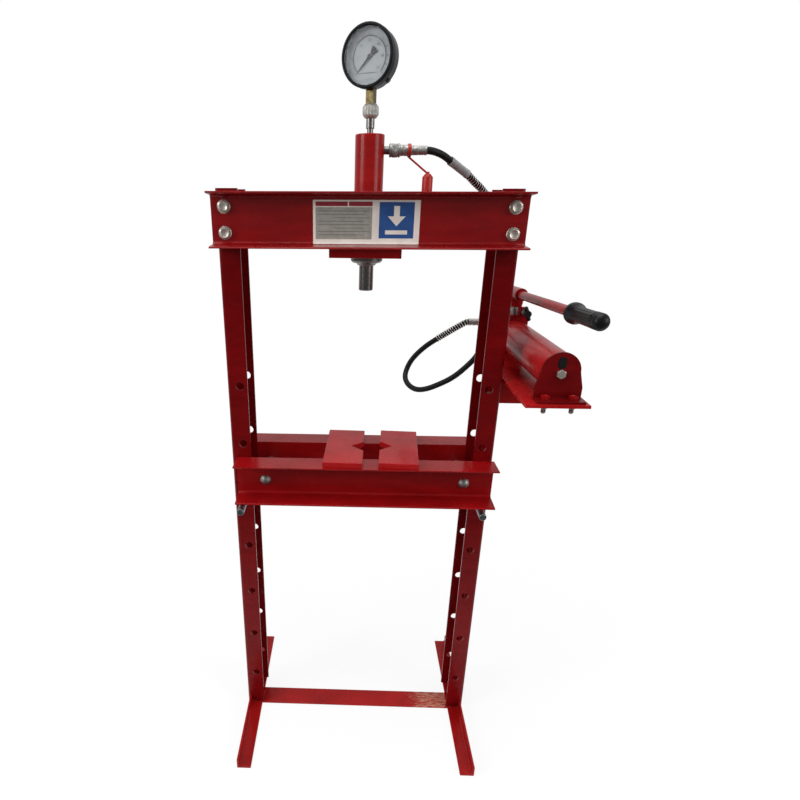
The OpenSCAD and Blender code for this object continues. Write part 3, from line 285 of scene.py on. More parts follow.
def red_enamel(name, deep, bright, gloss, wear=None, bare=None):
    """Enamel; wear builds a mask of worn places from the tree, which show the bare colours."""
    material, tree, shader = new_finish(name)
    mottling = calc(tree, "ADD", noise(tree, 120, 4.0), noise(tree, 60, 3.0, WIPED))
    colour = ramp(tree, calc(tree, "MULTIPLY", mottling, 0.5), (0.36, paint(deep)), (0.64, paint(bright)))
    rough = ramp(tree, noise(tree, 46, 5.0), (0.35, grey(0.2)), (0.75, grey(0.36)))
    height = noise(tree, PEEL_MM, 1.5)
    if wear:
        mask = wear(tree)
        under = ramp(tree, noise(tree, 4.0, 4.0), (0.3, paint(bare[0])), (0.7, paint(bare[1])))
        colour = add(tree, "ShaderNodeMix", {0: mask, 6: colour, 7: under}, data_type="RGBA").outputs[2]
        rough = calc(tree, "MULTIPLY_ADD", mask, 0.22, rough)
        height = calc(tree, "MULTIPLY_ADD", mask, -0.8, height)
    bump = add(tree, "ShaderNodeBump", {"Height": height, "Strength": 0.1, "Distance": PEEL_DEPTH_MM * MM})
    feed(tree, shader, {"Base Color": colour, "Roughness": rough, "Normal": bump.outputs["Normal"],
                        "IOR": LACQUER_IOR, "Specular IOR Level": gloss, "Coat Weight": gloss / 2,
                        "Coat Roughness": 0.06})
    return material


def rubbed_holes(tree):
    """Bare rims where the bed pins rub: rings of uneven width about the pin holes."""
    hole_x, lowest_hole, half_pitch, top_hole = (mm * MM for mm in (221, 89.3, 55, 800))
    at = own_place(tree)
    across = calc(tree, "SUBTRACT", calc(tree, "ABSOLUTE", at["X"]), hole_x)
    along = calc(tree, "WRAP", calc(tree, "SUBTRACT", at["Z"], lowest_hole), half_pitch, -half_pitch)
    flat = add(tree, "ShaderNodeCombineXYZ", {"X": across, "Z": along})
    from_hole = vector_calc(tree, "LENGTH", {0: flat.outputs[0]}).outputs["Value"]
    rim = spread(tree, from_hole, 7.6 * MM, 9.2 * MM, 1.0, 0.0)
    uneven = calc(tree, "MULTIPLY", noise(tree, 5.0, 4.0), rim)
    kept = calc(tree, "MULTIPLY", uneven, calc(tree, "LESS_THAN", at["Z"], top_hole))
    return ramp(tree, kept, (0.38, grey(0.0)), (0.5, grey(0.22)))


def scraped_end(tree):
    """The right end of the crossbar, where boots have scraped the paint."""
    end = spread(tree, own_place(tree)["X"], 55 * MM, 160 * MM)
    both = calc(tree, "MULTIPLY", noise(tree, 5.0, 6.0, (0.4, 1.9, 1)), end)
    return ramp(tree, both, (0.36, grey(0.0)), (0.6, grey(0.75)))


def plate_scratches(tree):
    """Thin scratches on the arbor plates, along the bed."""
    return ramp(tree, noise(tree, 30.0, 5.0, (0.5, 9, 1)), (0.66, grey(0.0)), (0.78, grey(0.3)))


beam_red = red_enamel("red_enamel_beams", "#7b090c", "#8f0d10", 0.24)
frame_red = red_enamel("red_enamel_frame", "#7e090c", "#930d10", 0.14)
# Painted shade: a darker red for the end plate, whose front face is in shade.
end_plate_painted_shade_red = red_enamel("red_enamel_end_plate", "#5d0407", "#6f070a", 0.14)
# Painted light: a lighter red for the feet, the barrel and the cylinder cap.
base_painted_light_red = red_enamel("red_enamel_feet", "#840b0c", "#9c1312", 0.16)
# Painted light: a lighter red for the reservoir.
reservoir_painted_light_red = red_enamel("red_enamel_reservoir", "#8a0c0e", "#a11313", 0.15)
# Painted light: a lighter red for the shelf, which lies in shadow.
shelf_painted_light_red = red_enamel("red_enamel_shelf", "#920f11", "#aa1817", 0.14)
# Painted shade: a darker red for the posts' front faces, with bare rims where the pins rub.
posts_rubbed_painted_shade_red = red_enamel("red_enamel_posts", "#5f0407", "#71070a", 0.11,
                      rubbed_holes, ("#4d3a38", "#75625e"))
# Painted light: a lighter red for the crossbar, with its scraped end.
crossbar_scraped_painted_light_red = red_enamel("red_enamel_crossbar", "#8a0c0d", "#a01412", 0.16,
                     scraped_end, ("#b07a62", "#cfa98f"))
# Painted light: a lighter red for the arbor plates, with their scratches.
plates_scratched_painted_light_red = red_enamel("red_enamel_plates", "#941012", "#aa1a1b", 0.13,
                       plate_scratches, ("#8a2c2c", "#a85a57"))
print("enamel: 9 coats")

# %% Metals
# Zinc plate is slightly blotchy, bright on the large bolts and matt on the swivel nut. Turned steel is
# darker, with fine rings. A ground rod is smooth and shows long soft reflections. Pins are oiled steel.
# Brass is yellow and a little stained.


def metal(name, dark, light, rough_low, rough_high, blot_mm, stretch=(1, 1, 1), bump_mm=0.05):
    """Bare or plated metal, lighter and smoother where its blots are high."""
    material, tree, shader = new_finish(name)
    blot = noise(tree, blot_mm, 4.0, stretch)
    bump = add(tree, "ShaderNodeBump", {"Height": blot, "Strength": 0.2, "Distance": bump_mm * MM})
    feed(tree, shader, {"Base Color": ramp(tree, blot, (0.3, paint(dark)), (0.72, paint(light))),
                        "Roughness": ramp(tree, blot, (0.3, grey(rough_high)), (0.7, grey(rough_low))),
                        "Normal": bump.outputs["Normal"], "Metallic": 1.0})
    return material


zinc_plate = metal("zinc_plated_steel", "#878683", "#b4b3af", 0.42, 0.6, 5.0)
knurl_zinc = metal("matt_zinc_plating", "#b0aea8", "#cbc9c3", 0.55, 0.7, 4.0)
bright_zinc = metal("bright_zinc_plating", "#bdb5ab", "#e0d9cf", 0.36, 0.54, 4.0)
turned_steel = metal("turned_steel", "#635f5d", "#95918e", 0.28, 0.45, 3.0, (1, 1, 14), 0.02)
ground_rod = metal("ground_steel_rod", "#686161", "#a09998", 0.2, 0.34, 5.0, (1, 1, 0.15), 0.004)
pin_steel = metal("oiled_pin_steel", "#4b4f52", "#8b9094", 0.24, 0.42, 8.0, (1, 6, 1))
yellow_brass = metal("yellow_brass", "#51482e", "#7c6f4c", 0.3, 0.48, 6.0)
spring_wire = metal("bright_spring_wire", "#b9bab8", "#e2e3e0", 0.34, 0.46, 3.0)
print("metals: 8")

# %% Rubber and plastics
# Hose rubber and the grip are black with a fine grain. The gauge's case, its bezel and the knob are harder
# and a little glossier. The dust cap is a soft orange-red moulding, the sleeve is grey nylon, the dial is
# a pale printed card, and the sticker is printed vinyl.


def moulding(name, dark, light, rough, grain_mm, bump_mm, shine=0.3):
    """Rubber, plastic, card or ink with a fine grain."""
    material, tree, shader = new_finish(name)
    grain = noise(tree, grain_mm, 3.0)
    bump = add(tree, "ShaderNodeBump", {"Height": grain, "Strength": 0.3, "Distance": bump_mm * MM})
    feed(tree, shader, {"Base Color": ramp(tree, grain, (0.3, paint(dark)), (0.75, paint(light))),
                        "Normal": bump.outputs["Normal"], "Roughness": rough, "IOR": 1.5,
                        "Specular IOR Level": shine})
    return material


hose_rubber = moulding("hose_rubber", "#0e0e0f", "#1a1a1b", 0.5, 2.0, 0.15, 0.2)
grip_rubber = moulding("grip_rubber", "#0a0a0b", "#141415", 0.36, 1.6, 0.1, 0.2)
black_case = moulding("black_gauge_enamel", "#2a2a30", "#37373e", 0.34, 1.2, 0.06, 0.3)
bezel_black = moulding("black_bezel_enamel", "#070709", "#0f0f12", 0.4, 1.2, 0.06, 0.12)
black_abs = moulding("black_abs_knob", "#0e0e0f", "#1a1a1b", 0.36, 1.4, 0.08)
grey_sleeve = moulding("grey_nylon_sleeve", "#78777a", "#a3a2a3", 0.4, 4.0, 0.1)
dust_moulding = moulding("orange_polythene_cap", "#9a1811", "#b0281d", 0.36, 7.0, 0.05)
dial_card = moulding("white_dial_card", "#a3a8ac", "#b2b7ba", 0.55, 26.0, 0.01)
dial_ink = moulding("black_dial_ink", "#141415", "#242426", 0.6, 3.0, 0.01)
sticker_white = moulding("white_vinyl", "#e0d7cd", "#efe7de", 0.42, 18.0, 0.03)
sticker_grey = moulding("grey_vinyl_print", "#908e87", "#a6a39b", 0.45, 9.0, 0.02)
sticker_ink = moulding("dark_grey_vinyl_print", "#6c6b67", "#7c7b76", 0.45, 6.0, 0.02)
sticker_red = moulding("red_vinyl_print", "#8a2a35", "#a03540", 0.42, 12.0, 0.02)
sticker_blue = moulding("blue_vinyl_print", "#274b86", "#325a9b", 0.4, 14.0, 0.02)
print("mouldings: 14")

# %% Lens
# The gauge's window is a clear acrylic disc, mostly see-through, with a faint grey film in patches
# that is a painted reflection of the window's glare.
lens_clear, tree, shader = new_finish("clear_acrylic_window")
glare_film_painted = ramp(tree, noise(tree, 12, 4.0), (0.35, grey(0.05)), (0.75, grey(0.1)))
feed(tree, shader, {"Alpha": glare_film_painted, "Base Color": paint("#c9d0d4"), "Roughness": 0.06, "IOR": 1.49,
                    "Coat Weight": 0.4})
print("finishes:", len(bpy.data.materials))

# %% [markdown]
# ## Helpers for shapes
# Round and hexagonal parts are lofts: rings of points joined by strips of faces. A ring may be a circle,
# a hexagon or anything in between, so one function makes a bolt, a grip and a sleeve. A finished mesh
# becomes a piece at the origin that rides on its body, and may stand for a solid of the frame.

# %% Helpers for shapes


def loft(rings, closed=False):
    """A mesh through rings of equally many points, filled at its ends or closed to a loop."""
    work = bmesh.new()
    grid = [[work.verts.new(p) for p in ring] for ring in rings]
    n = len(rings[0])
    pairs = list(zip(grid, grid[1:])) + ([(grid[-1], grid[0])] if closed else [])
    for lower, upper in pairs:
        for i in range(n):
            work.faces.new((lower[i], lower[(i + 1) % n], upper[(i + 1) % n], upper[i]))
    if not closed:
        work.faces.new(list(reversed(grid[0])))
        work.faces.new(grid[-1])
    bmesh.ops.remove_doubles(work, verts=work.verts, dist=0.0005 * MM)
    bmesh.ops.recalc_face_normals(work, faces=work.faces)
    mesh = bpy.data.meshes.new("loft")
    work.to_mesh(mesh)
    work.free()
    return mesh


def polar(r, degrees):
    """The point at a radius and an angle."""
    return r * math.cos(math.radians(degrees)), r * math.sin(math.radians(degrees))


def circle(r_mm, z_mm, n=48):
    """Ring of radius r at height z, in metres."""
    return [Vector((r_mm * math.cos(2 * math.pi * i / n), r_mm * math.sin(2 * math.pi * i / n), z_mm)) * MM
            for i in range(n)]


def turned(profile, n=48, closed=False):
    """A turned part through (radius, height) pairs in mm."""
    return loft([circle(r, z, n) for r, z in profile], closed)


def join(*meshes):
    """One mesh from several."""
    work = bmesh.new()
    for mesh in meshes:
        work.from_mesh(mesh)
    made = bpy.data.meshes.new("joined")
    work.to_mesh(made)
    work.free()
    return made


def smooth(mesh, angle=32):
    """Shades a mesh smooth, up to an angle in degrees."""
    mesh.shade_smooth()
    mesh.set_sharp_from_angle(angle=math.radians(angle))
    return mesh


def piece(name, mesh, material, body, *stands_for):
    """A finished piece that rides on a body, in place of the named solids."""
    made = placed(name, mesh)
    if not mesh.materials:
        mesh.materials.append(material)
    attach(made, body)
    if stands_for:
        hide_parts(*stands_for)
    return made


def baked(carrier):
    """The plain mesh that a carrier's modifiers make; the carrier is dropped."""
    bpy.context.view_layer.update()
    mesh = bpy.data.meshes.new_from_object(carrier.evaluated_get(bpy.context.evaluated_depsgraph_get()))
    bpy.data.objects.remove(carrier)
    return mesh


def carrier_of(name, points, edges=(), aims=None):
    """A bare mesh object of points and edges in mm, for a Geometry Nodes tree to work on."""
    mesh = bpy.data.meshes.new(name)
    mesh.from_pydata([Vector(p) * MM for p in points], edges, [])
    if aims is not None:
        aim = mesh.attributes.new("aim", "FLOAT_VECTOR", "POINT")
        aim.data.foreach_set("vector", [c for a in aims for c in a])
    return placed(name, mesh)


def grow(carrier, tree, **values):
    """Runs a Geometry Nodes tree on a carrier, its inputs set by name, and bakes it."""
    made = carrier.modifiers.new("grow", "NODES")
    made.node_group = tree
    for item in tree.interface.items_tree:
        key = item.name.lower().replace(" ", "_")
        if item.item_type == "SOCKET" and item.in_out == "INPUT" and key in values:
            made[item.identifier] = values[key]
    return baked(carrier)


def shape_tree(name, *sockets):
    """An empty Geometry Nodes tree with named inputs and a material, and its input and output nodes."""
    tree = bpy.data.node_groups.new(name, "GeometryNodeTree")
    tree.interface.new_socket("Geometry", in_out="INPUT", socket_type="NodeSocketGeometry")
    for label, kind in sockets + (("Material", "Material"),):
        tree.interface.new_socket(label, in_out="INPUT", socket_type="NodeSocket" + kind)
    tree.interface.new_socket("Geometry", in_out="OUTPUT", socket_type="NodeSocketGeometry")
    return tree, add(tree, "NodeGroupInput").outputs, add(tree, "NodeGroupOutput")


def close_tree(tree, shape, material, out):
    """The tree's end: real geometry in one material."""
    real = add(tree, "GeometryNodeRealizeInstances", {"Geometry": shape})
    coated = add(tree, "GeometryNodeSetMaterial", {"Geometry": real.outputs[0], "Material": material})
    tree.links.new(coated.outputs[0], out.inputs[0])


# %% [markdown]
# ## The hose
# The hose is one high-pressure rubber hose, 11 mm thick, between the pump's outlet and the coupler on the
# cylinder. It leaves the pump's ferrule to the left, droops behind the right post, climbs behind the beam
# and comes forward to the coupler. A Bezier spline through the route's points bends it smoothly, and its
# guards and sleeve are wound and slid on the same line.

# %% Hose
ROUTE = [Vector(p) * MM for p in (
    (214, 170, 830), (199, 172, 823), (178, 180, 808), (156, 190, 791), (132, 198, 771), (110, 203, 746),
    (98, 197, 725), (94, 181, 710), (100, 160, 700), (114, 141, 696), (132, 127, 701), (156, 116, 714),
    (182, 109, 731), (205, 105, 753), (224, 105, 776), (236, 107, 806), (241, 111, 840), (243, 115, 875),
    (243, 119, 910), (243, 121, 945), (243, 122, 980), (240, 120, 1011), (229, 113, 1039), (213, 101, 1059.5),
    (198, 85, 1072.5), (182, 69, 1082.5), (166, 53, 1093.5), (131, 22, 1112), (112, 8, 1121), (90, 0, 1125))]
LOWER_GUARD, UPPER_GUARD, SLEEVE = (0, 3), (23, 26), (26, 27)
HOSE_D = 11.0


def heading(i):
    """Direction of the hose at a point of its route."""
    if i in (0, len(ROUTE) - 1):
        return Vector((-1, 0, 0))
    if i in SLEEVE:
        return (ROUTE[SLEEVE[1]] - ROUTE[SLEEVE[0]]).normalized()
    return (ROUTE[i + 1] - ROUTE[i - 1]).normalized()


def along(first, last, steps=8):
    """Points of the smooth hose between two points of its route."""
    made = [ROUTE[first]]
    for i in range(first, last):
        a, d = ROUTE[i], ROUTE[i + 1]
        third = (d - a).length / 3
        b, c = a + heading(i) * third, d - heading(i + 1) * third
        for k in range(1, steps + 1):
            t = k / steps
            made.append(a * (1 - t) ** 3 + b * 3 * t * (1 - t) ** 2 + c * 3 * t * t * (1 - t) + d * t ** 3)
    return made


def length_of(points):
    """Length of a line of points."""
    return sum((b - a).length for a, b in zip(points, points[1:]))


hose_line = bpy.data.curves.new("pressure_hose", "CURVE")
hose_line.dimensions = "3D"
hose_line.bevel_depth = HOSE_D / 2 * MM
hose_line.bevel_resolution = 6
hose_line.resolution_u = 8
hose_line.use_fill_caps = True
spline = hose_line.splines.new("BEZIER")
spline.bezier_points.add(len(ROUTE) - 1)
for i, knot in enumerate(spline.bezier_points):
    knot.co = ROUTE[i]
    knot.handle_left_type = knot.handle_right_type = "FREE"
    knot.handle_left = ROUTE[i] - heading(i) * (ROUTE[i] - ROUTE[max(i - 1, 0)]).length / 3
    knot.handle_right = ROUTE[i] + heading(i) * (ROUTE[min(i + 1, len(ROUTE) - 1)] - ROUTE[i]).length / 3
hose_line.materials.append(hose_rubber)
hose = placed("pressure_hose", hose_line)
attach(hose, "frame")
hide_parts("hose_tube", "hose_tail")

# %% [markdown]
# ## Spring guards
# A spring of bright wire keeps each end of the hose from kinking. It is a coil that follows the hose, so
# Geometry Nodes wind it: the path's own tangent and normal give the circle that the wire runs round. The
# upper spring has been pulled, so its pitch is wider.

# %% Coil tree
POINTS_PER_TURN, WIRE_SIDES = 18.0, 8
coil_tree, given, out = shape_tree("wire_coil_on_a_path", ("Turns", "Float"), ("Coil radius", "Float"),
                                   ("Wire radius", "Float"))
path = add(coil_tree, "GeometryNodeMeshToCurve", {"Mesh": given["Geometry"]})
count = calc(coil_tree, "MULTIPLY", given["Turns"], POINTS_PER_TURN)
fine = add(coil_tree, "GeometryNodeResampleCurve", {"Curve": path.outputs[0], "Count": count})
part_way = add(coil_tree, "GeometryNodeSplineParameter").outputs["Factor"]
angle = calc(coil_tree, "MULTIPLY", calc(coil_tree, "MULTIPLY", part_way, given["Turns"]), 2 * math.pi)
tangent = add(coil_tree, "GeometryNodeInputTangent").outputs[0]
side = add(coil_tree, "GeometryNodeInputNormal").outputs[0]
other = vector_calc(coil_tree, "CROSS_PRODUCT", {0: tangent, 1: side}).outputs[0]
swing = {}
for k, (wave, axis) in enumerate((("COSINE", side), ("SINE", other))):
    reach = calc(coil_tree, "MULTIPLY", calc(coil_tree, wave, angle), given["Coil radius"])
    swing[k] = vector_calc(coil_tree, "SCALE", {0: axis, "Scale": reach}).outputs[0]
offset = vector_calc(coil_tree, "ADD", swing).outputs[0]
wound = add(coil_tree, "GeometryNodeSetPosition", {"Geometry": fine.outputs[0], "Offset": offset})
section = add(coil_tree, "GeometryNodeCurvePrimitiveCircle",
              {"Resolution": WIRE_SIDES, "Radius": given["Wire radius"]})
wire = add(coil_tree, "GeometryNodeCurveToMesh",
           {"Curve": wound.outputs[0], "Profile Curve": section.outputs[0], "Fill Caps": True})
close_tree(coil_tree, wire.outputs[0], given["Material"], out)
print("coil tree:", len(coil_tree.nodes), "nodes")

# %% Guards and sleeve
WIRE_R = 0.75
LOWER_PITCH, UPPER_PITCH = 4.8, 6.2
for name, (first, last), pitch in (("lower_spring_guard", LOWER_GUARD, LOWER_PITCH),
                                   ("upper_spring_guard", UPPER_GUARD, UPPER_PITCH)):
    line = along(first, last)
    length = length_of(line) / MM
    carrier = carrier_of(name + "_path", [p / MM for p in line], [(i, i + 1) for i in range(len(line) - 1)])
    coil = grow(carrier, coil_tree, turns=length / pitch, coil_radius=(HOSE_D / 2 + WIRE_R) * MM,
                wire_radius=WIRE_R * MM, material=spring_wire)
    piece(name + "_wire", smooth(coil, 60), spring_wire, "frame", name)
    print(name, "%.0f mm, %.1f turns" % (length, length / pitch))

sleeve_axis = ROUTE[SLEEVE[1]] - ROUTE[SLEEVE[0]]
sleeve_l = sleeve_axis.length / MM
sleeve_turn = sleeve_axis.to_track_quat("Z", "Y").to_matrix().to_4x4()
sleeve_mesh = turned([
    (5.6, 0), (6.6, 0), (7, 0.6), (7, 5), (6.7, 5.6), (6.7, 13), (6.4, 13.4), (6.4, 14.2), (6.7, 14.6),
    (6.7, sleeve_l - 6), (7, sleeve_l - 5), (7, sleeve_l - 0.6), (6.6, sleeve_l), (5.6, sleeve_l),
], closed=True)
sleeve_mesh.transform(Matrix.Translation(ROUTE[SLEEVE[0]]) @ sleeve_turn)
piece("hose_sleeve_nylon", smooth(sleeve_mesh), grey_sleeve, "frame", "hose_sleeve")

# %% [markdown]
# ## Softened steel
# Sawn, bent and cast steel never has a knife edge under paint: the coat rounds it, and the round edge
# catches the light. Each painted or plain metal part is copied, its flat faces are joined again, and a
# small bevel rounds its edges. Weighted normals keep the flats flat up to the bevel. The copy then
# stands for the part.

# %% Softened copies of the frame's parts
WELD_MM, SAME_FACE_DEG, SHARP_DEG = 0.002, 0.6, 40


def softened(name, width_mm, material):
    """A copy of a part with rounded edges, in place of the part."""
    mesh = nodes[name].data.copy()
    work = bmesh.new()
    work.from_mesh(mesh)
    bmesh.ops.remove_doubles(work, verts=work.verts, dist=WELD_MM * MM)
    bmesh.ops.dissolve_limit(work, angle_limit=math.radians(SAME_FACE_DEG), verts=work.verts,
                             edges=work.edges)
    work.to_mesh(mesh)
    work.free()
    mesh.shade_smooth()
    copy = placed(name + "_copy", mesh)
    bevel = copy.modifiers.new("rounded_edges", "BEVEL")
    bevel.width = width_mm * MM
    bevel.segments = 2
    bevel.limit_method = "ANGLE"
    bevel.angle_limit = math.radians(SHARP_DEG)
    flats = copy.modifiers.new("flat_faces", "WEIGHTED_NORMAL")
    flats.weight = 100
    mesh = baked(copy)
    mesh.materials.clear()
    return piece(name + "_soft", mesh, material, nodes[name]["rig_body"], name)


SOFTENED = (
    (0.25, posts_rubbed_painted_shade_red, "left_post", "right_post"),
    (0.8, base_painted_light_red, "left_foot", "right_foot"),
    (0.6, crossbar_scraped_painted_light_red, "base_crossbar"),
    (0.9, beam_red, "front_beam", "rear_beam"),
    (1.0, frame_red, "cylinder_plate"),
    (0.5, base_painted_light_red, "cylinder_barrel"),
    (0.4, base_painted_light_red, "cylinder_cap"),
    (0.7, shelf_painted_light_red, "pump_bracket"),
    (0.4, reservoir_painted_light_red, "reservoir"),
    (0.6, end_plate_painted_shade_red, "reservoir_end_plate"),
    (0.9, frame_red, "pump_head", "bed_front_channel", "bed_rear_channel"),
    (0.8, frame_red, "lever_socket"),
    (0.3, frame_red, "pump_handle"),
    (1.0, plates_scratched_painted_light_red, "left_arbor_plate", "right_arbor_plate"),
    (0.4, turned_steel, "rod_gland", "gauge_nipple", "port_nipple"),
    (0.4, pin_steel, "left_bed_pin", "right_bed_pin"),
    (0.3, zinc_plate, "outlet_fitting", "lever_pin", "plunger", "release_stem"),
    (0.3, bright_zinc, "tie_bolt", "bed_spacers"),
    (0.6, ground_rod, "ram_rod"),
    (0.5, yellow_brass, "gauge_stem"),
    (0.4, black_case, "gauge_case"),
    (0.4, bezel_black, "gauge_bezel"),
    (0.6, black_abs, "release_knob"),
    (0.4, dust_moulding, "dust_cap"),
    (0.05, dial_card, "gauge_dial"),
)
AS_THEY_ARE = {
    "ram_piston": turned_steel, "piston_seal": hose_rubber, "return_spring": spring_wire,
    "bourdon_tube": yellow_brass, "gauge_lens": lens_clear,
}
for width, finish, *parts in SOFTENED:
    for part in parts:
        softened(part, width, finish)
for part in ("upper_ferrule", "lower_ferrule"):
    softened(part, 0.3, zinc_plate)
for part, finish in AS_THEY_ARE.items():
    for slot in nodes[part].material_slots:
        slot.material = finish

# %% [markdown]
# ## Bolts, nuts and washers
# The press is held together by four kinds of bolt. Each kind is modelled once, with its dished hexagon or
# domed head and its threads, and Geometry Nodes stamp it on every place where the frame has one.
# A point carries the way that the bolt looks, so the same tree serves all sides of the frame.

# %% Stamping tree


def copies_on(tree, points, pattern, **settings):
    """Copies of an object on points, with more inputs by name."""
    one = add(tree, "GeometryNodeObjectInfo", {"Object": pattern, "As Instance": True})
    inputs = {"Points": points, "Instance": one.outputs["Geometry"], **settings}
    return add(tree, "GeometryNodeInstanceOnPoints", inputs).outputs[0]


stamp_tree, given, out = shape_tree("hardware_on_points", ("Hardware", "Object"))
aim = add(stamp_tree, "GeometryNodeInputNamedAttribute", {"Name": "aim"}, data_type="FLOAT_VECTOR")
facing = add(stamp_tree, "FunctionNodeAlignRotationToVector", {"Vector": aim.outputs["Attribute"]}, axis="Z")
copies = copies_on(stamp_tree, given["Geometry"], given["Hardware"], Rotation=facing.outputs[0])
close_tree(stamp_tree, copies, given["Material"], out)
print("stamping tree:", len(stamp_tree.nodes), "nodes")


def grown_from(mesh, carrier, tree, label, **values):
    """Runs a tree that copies a mesh, given to its input of that label, and drops the pattern."""
    pattern = placed("pattern", mesh)
    made = grow(carrier, tree, **{label: pattern}, **values)
    bpy.data.objects.remove(pattern)
    return made


def stamped(mesh, places, material):
    """Copies of a mesh at (point, aim) places, as one mesh."""
    carrier = carrier_of("places", [p for p, _ in places], aims=[a for _, a in places])
    return grown_from(smooth(mesh), carrier, stamp_tree, "hardware", material=material)


def fasten(name, mesh, places, material, body, *stands_for):
    """A kind of fastener on all its places, as one piece."""
    piece(name, stamped(mesh, places, material), material, body, *stands_for)


# %% One of each kind
# Sizes are in mm: af is the width across the flats, d the thread, and heights count from the face that
# the bolt is put on. Radii of faces and dishes are shares of af. A ring of PIN_POINT closes a face.
CHAMFER_FROM, CHAMFER_SLOPE = 0.47, 0.55
WASHER_FACE_R, WASHER_FACE_H = 0.46, 0.4
DISH_R, DISH_FLOOR_R, DISH_DEEP = 0.41, 0.29, 1.1
NUT_FACE_R, PLAY, PIN_POINT = 0.45, 0.1, 0.05
THREAD_PITCH, THREAD_DEEP, END_CHAMFER = 1.4, 0.7, 1.2


def hexagon(af, rise, sign, n=48):
    """Hexagon ring whose corners fall away by a chamfer, flats to the sides."""
    ring = []
    for i in range(n):
        turn = 360.0 * i / n
        r = af / 2 / math.cos(math.radians((turn + 30) % 60 - 30))
        z = rise - sign * max(0.0, r - CHAMFER_FROM * af) * CHAMFER_SLOPE
        ring.append(Vector((*polar(r, turn), z)) * MM)
    return ring


def bolt_head(af, h, z=0.0):
    """Hexagon head with a washer face below and a dish on top."""
    floor_z = z + h - DISH_DEEP
    return loft([circle(PIN_POINT, z), circle(WASHER_FACE_R * af, z),
                 circle(WASHER_FACE_R * af, z + WASHER_FACE_H), hexagon(af, z + WASHER_FACE_H, 0),
                 hexagon(af, z + h, 1), circle(DISH_R * af, z + h), circle(DISH_FLOOR_R * af, floor_z),
                 circle(PIN_POINT, floor_z)])


def bolt_shank(d, top, bottom, thread):
    """Plain shank from top down to its threads and its chamfered end."""
    z = bottom + thread
    profile = [(d / 2, top), (d / 2, z)]
    while z - THREAD_PITCH > bottom + END_CHAMFER:
        profile += [(d / 2 - THREAD_DEEP, z - THREAD_PITCH / 2), (d / 2, z - THREAD_PITCH)]
        z -= THREAD_PITCH
    return turned(profile + [(d / 2 - END_CHAMFER, bottom)], 32)


def hex_nut(d, af, z0, z1):
    """Nut between two heights, chamfered on both faces."""
    bore = d / 2 + PLAY
    return loft([circle(bore, z0), circle(NUT_FACE_R * af, z0), hexagon(af, z0, -1), hexagon(af, z1, 1),
                 circle(NUT_FACE_R * af, z1), circle(bore, z1)], closed=True)


def flat_washer(d, outer, t):
    """Washer with its upper rim rounded off."""
    bore, r = d / 2 + PLAY, outer / 2
    return turned([(bore, 0), (r - 0.2, 0), (r, 0.2), (r, t - 0.6), (r - 0.6, t), (bore, t)], closed=True)


# %% Bolts in their places
FRONT, UP, RIGHT = (0, -1, 0), (0, 0, 1), (1, 0, 0)
PUMP_X = 306
beam_places = [((x, s * 45.0, z), (0, s, 0))
               for x in (-228.8, 228.8) for z in (1004.5, 1043.5) for s in (-1, 1)]
bed_places = [((x, -45.5, 568.3), FRONT) for x in (-181, 193)]
mount_places = [((249, 18, z), RIGHT) for z in (749, 722)]
end_places = [((PUMP_X + s * 22, -149.4, 767), UP) for s in (-1, 1)]
foot_places = [((PUMP_X + s * 35, 184, 770), UP) for s in (-1, 1)]

fasten("beam_bolts_zinc", join(bolt_head(16, 6.4, 2), bolt_shank(10, 2, -20, 14)), beam_places,
       bright_zinc, "frame", "beam_bolts")
fasten("beam_washers_zinc", flat_washer(10, 21, 2), beam_places, bright_zinc, "frame", "beam_washers")
fasten("beam_nuts_zinc", hex_nut(10, 16, -17, -9), beam_places, zinc_plate, "frame", "beam_nuts")

dome = turned([(10.2, 0), (10.2, 0.5), (9.7, 1.2), (8.5, 3), (6.4, 5), (3.9, 6.3), (1.5, 6.9),
               (PIN_POINT, 7)])
fasten("bed_bolts_zinc", join(dome, bolt_shank(12, 0.2, -104, 20), hex_nut(12, 18, -101, -91)), bed_places,
       zinc_plate, "bed", "bed_bolts")
mount_bolt = join(bolt_head(13, 5.5), bolt_shank(8, 0, -18.5, 8), hex_nut(8, 13, -15.5, -10))
fasten("bracket_bolts_zinc", mount_bolt, mount_places, zinc_plate, "frame", "bracket_bolts")

fasten("pump_bolt_heads_painted", bolt_head(13, 5.5), end_places + foot_places, frame_red, "frame")
under = [stamped(join(bolt_shank(8, 0.2, end, 12), hex_nut(8, 13, end + 9, end + 14.5)), places, zinc_plate)
         for end, places in ((-23.5, end_places), (-26.5, foot_places))]
piece("pump_bolts_zinc", smooth(join(*under)), zinc_plate, "frame", "pump_bolts")
print("bolts:", sum(map(len, (beam_places, bed_places, mount_places, end_places, foot_places))))

# %% [markdown]
# ## Knurls, ribs and scale marks
# The coupler has a knurled ring, the swivel nut has ribs for the fingers, and the dial has a scale. All
# three are one mark repeated round an axis, so one tree turns copies of a mark about the vertical, and
# the result is then laid in its place.

# %% Round repeat
round_tree, given, out = shape_tree("marks_round_an_axis", ("Count", "Int"), ("Start", "Float"),
                                    ("Sweep", "Float"), ("Mark", "Object"))
spots = add(round_tree, "GeometryNodePoints", {"Count": given["Count"]})
number = add(round_tree, "GeometryNodeInputIndex").outputs[0]
share = calc(round_tree, "DIVIDE", number, given["Count"])
angle = calc(round_tree, "MULTIPLY_ADD", share, given["Sweep"], given["Start"])
turn = add(round_tree, "ShaderNodeCombineXYZ", {"Z": angle})
copies = copies_on(round_tree, spots.outputs[0], given["Mark"], Rotation=turn.outputs[0])
close_tree(round_tree, copies, given["Material"], out)
print("round tree:", len(round_tree.nodes), "nodes")


def slab(outline, z0, z1):
    """A flat plate of that outline in mm, between two heights."""
    return loft([[Vector((x, y, z)) * MM for x, y in outline] for z in (z0, z1)])


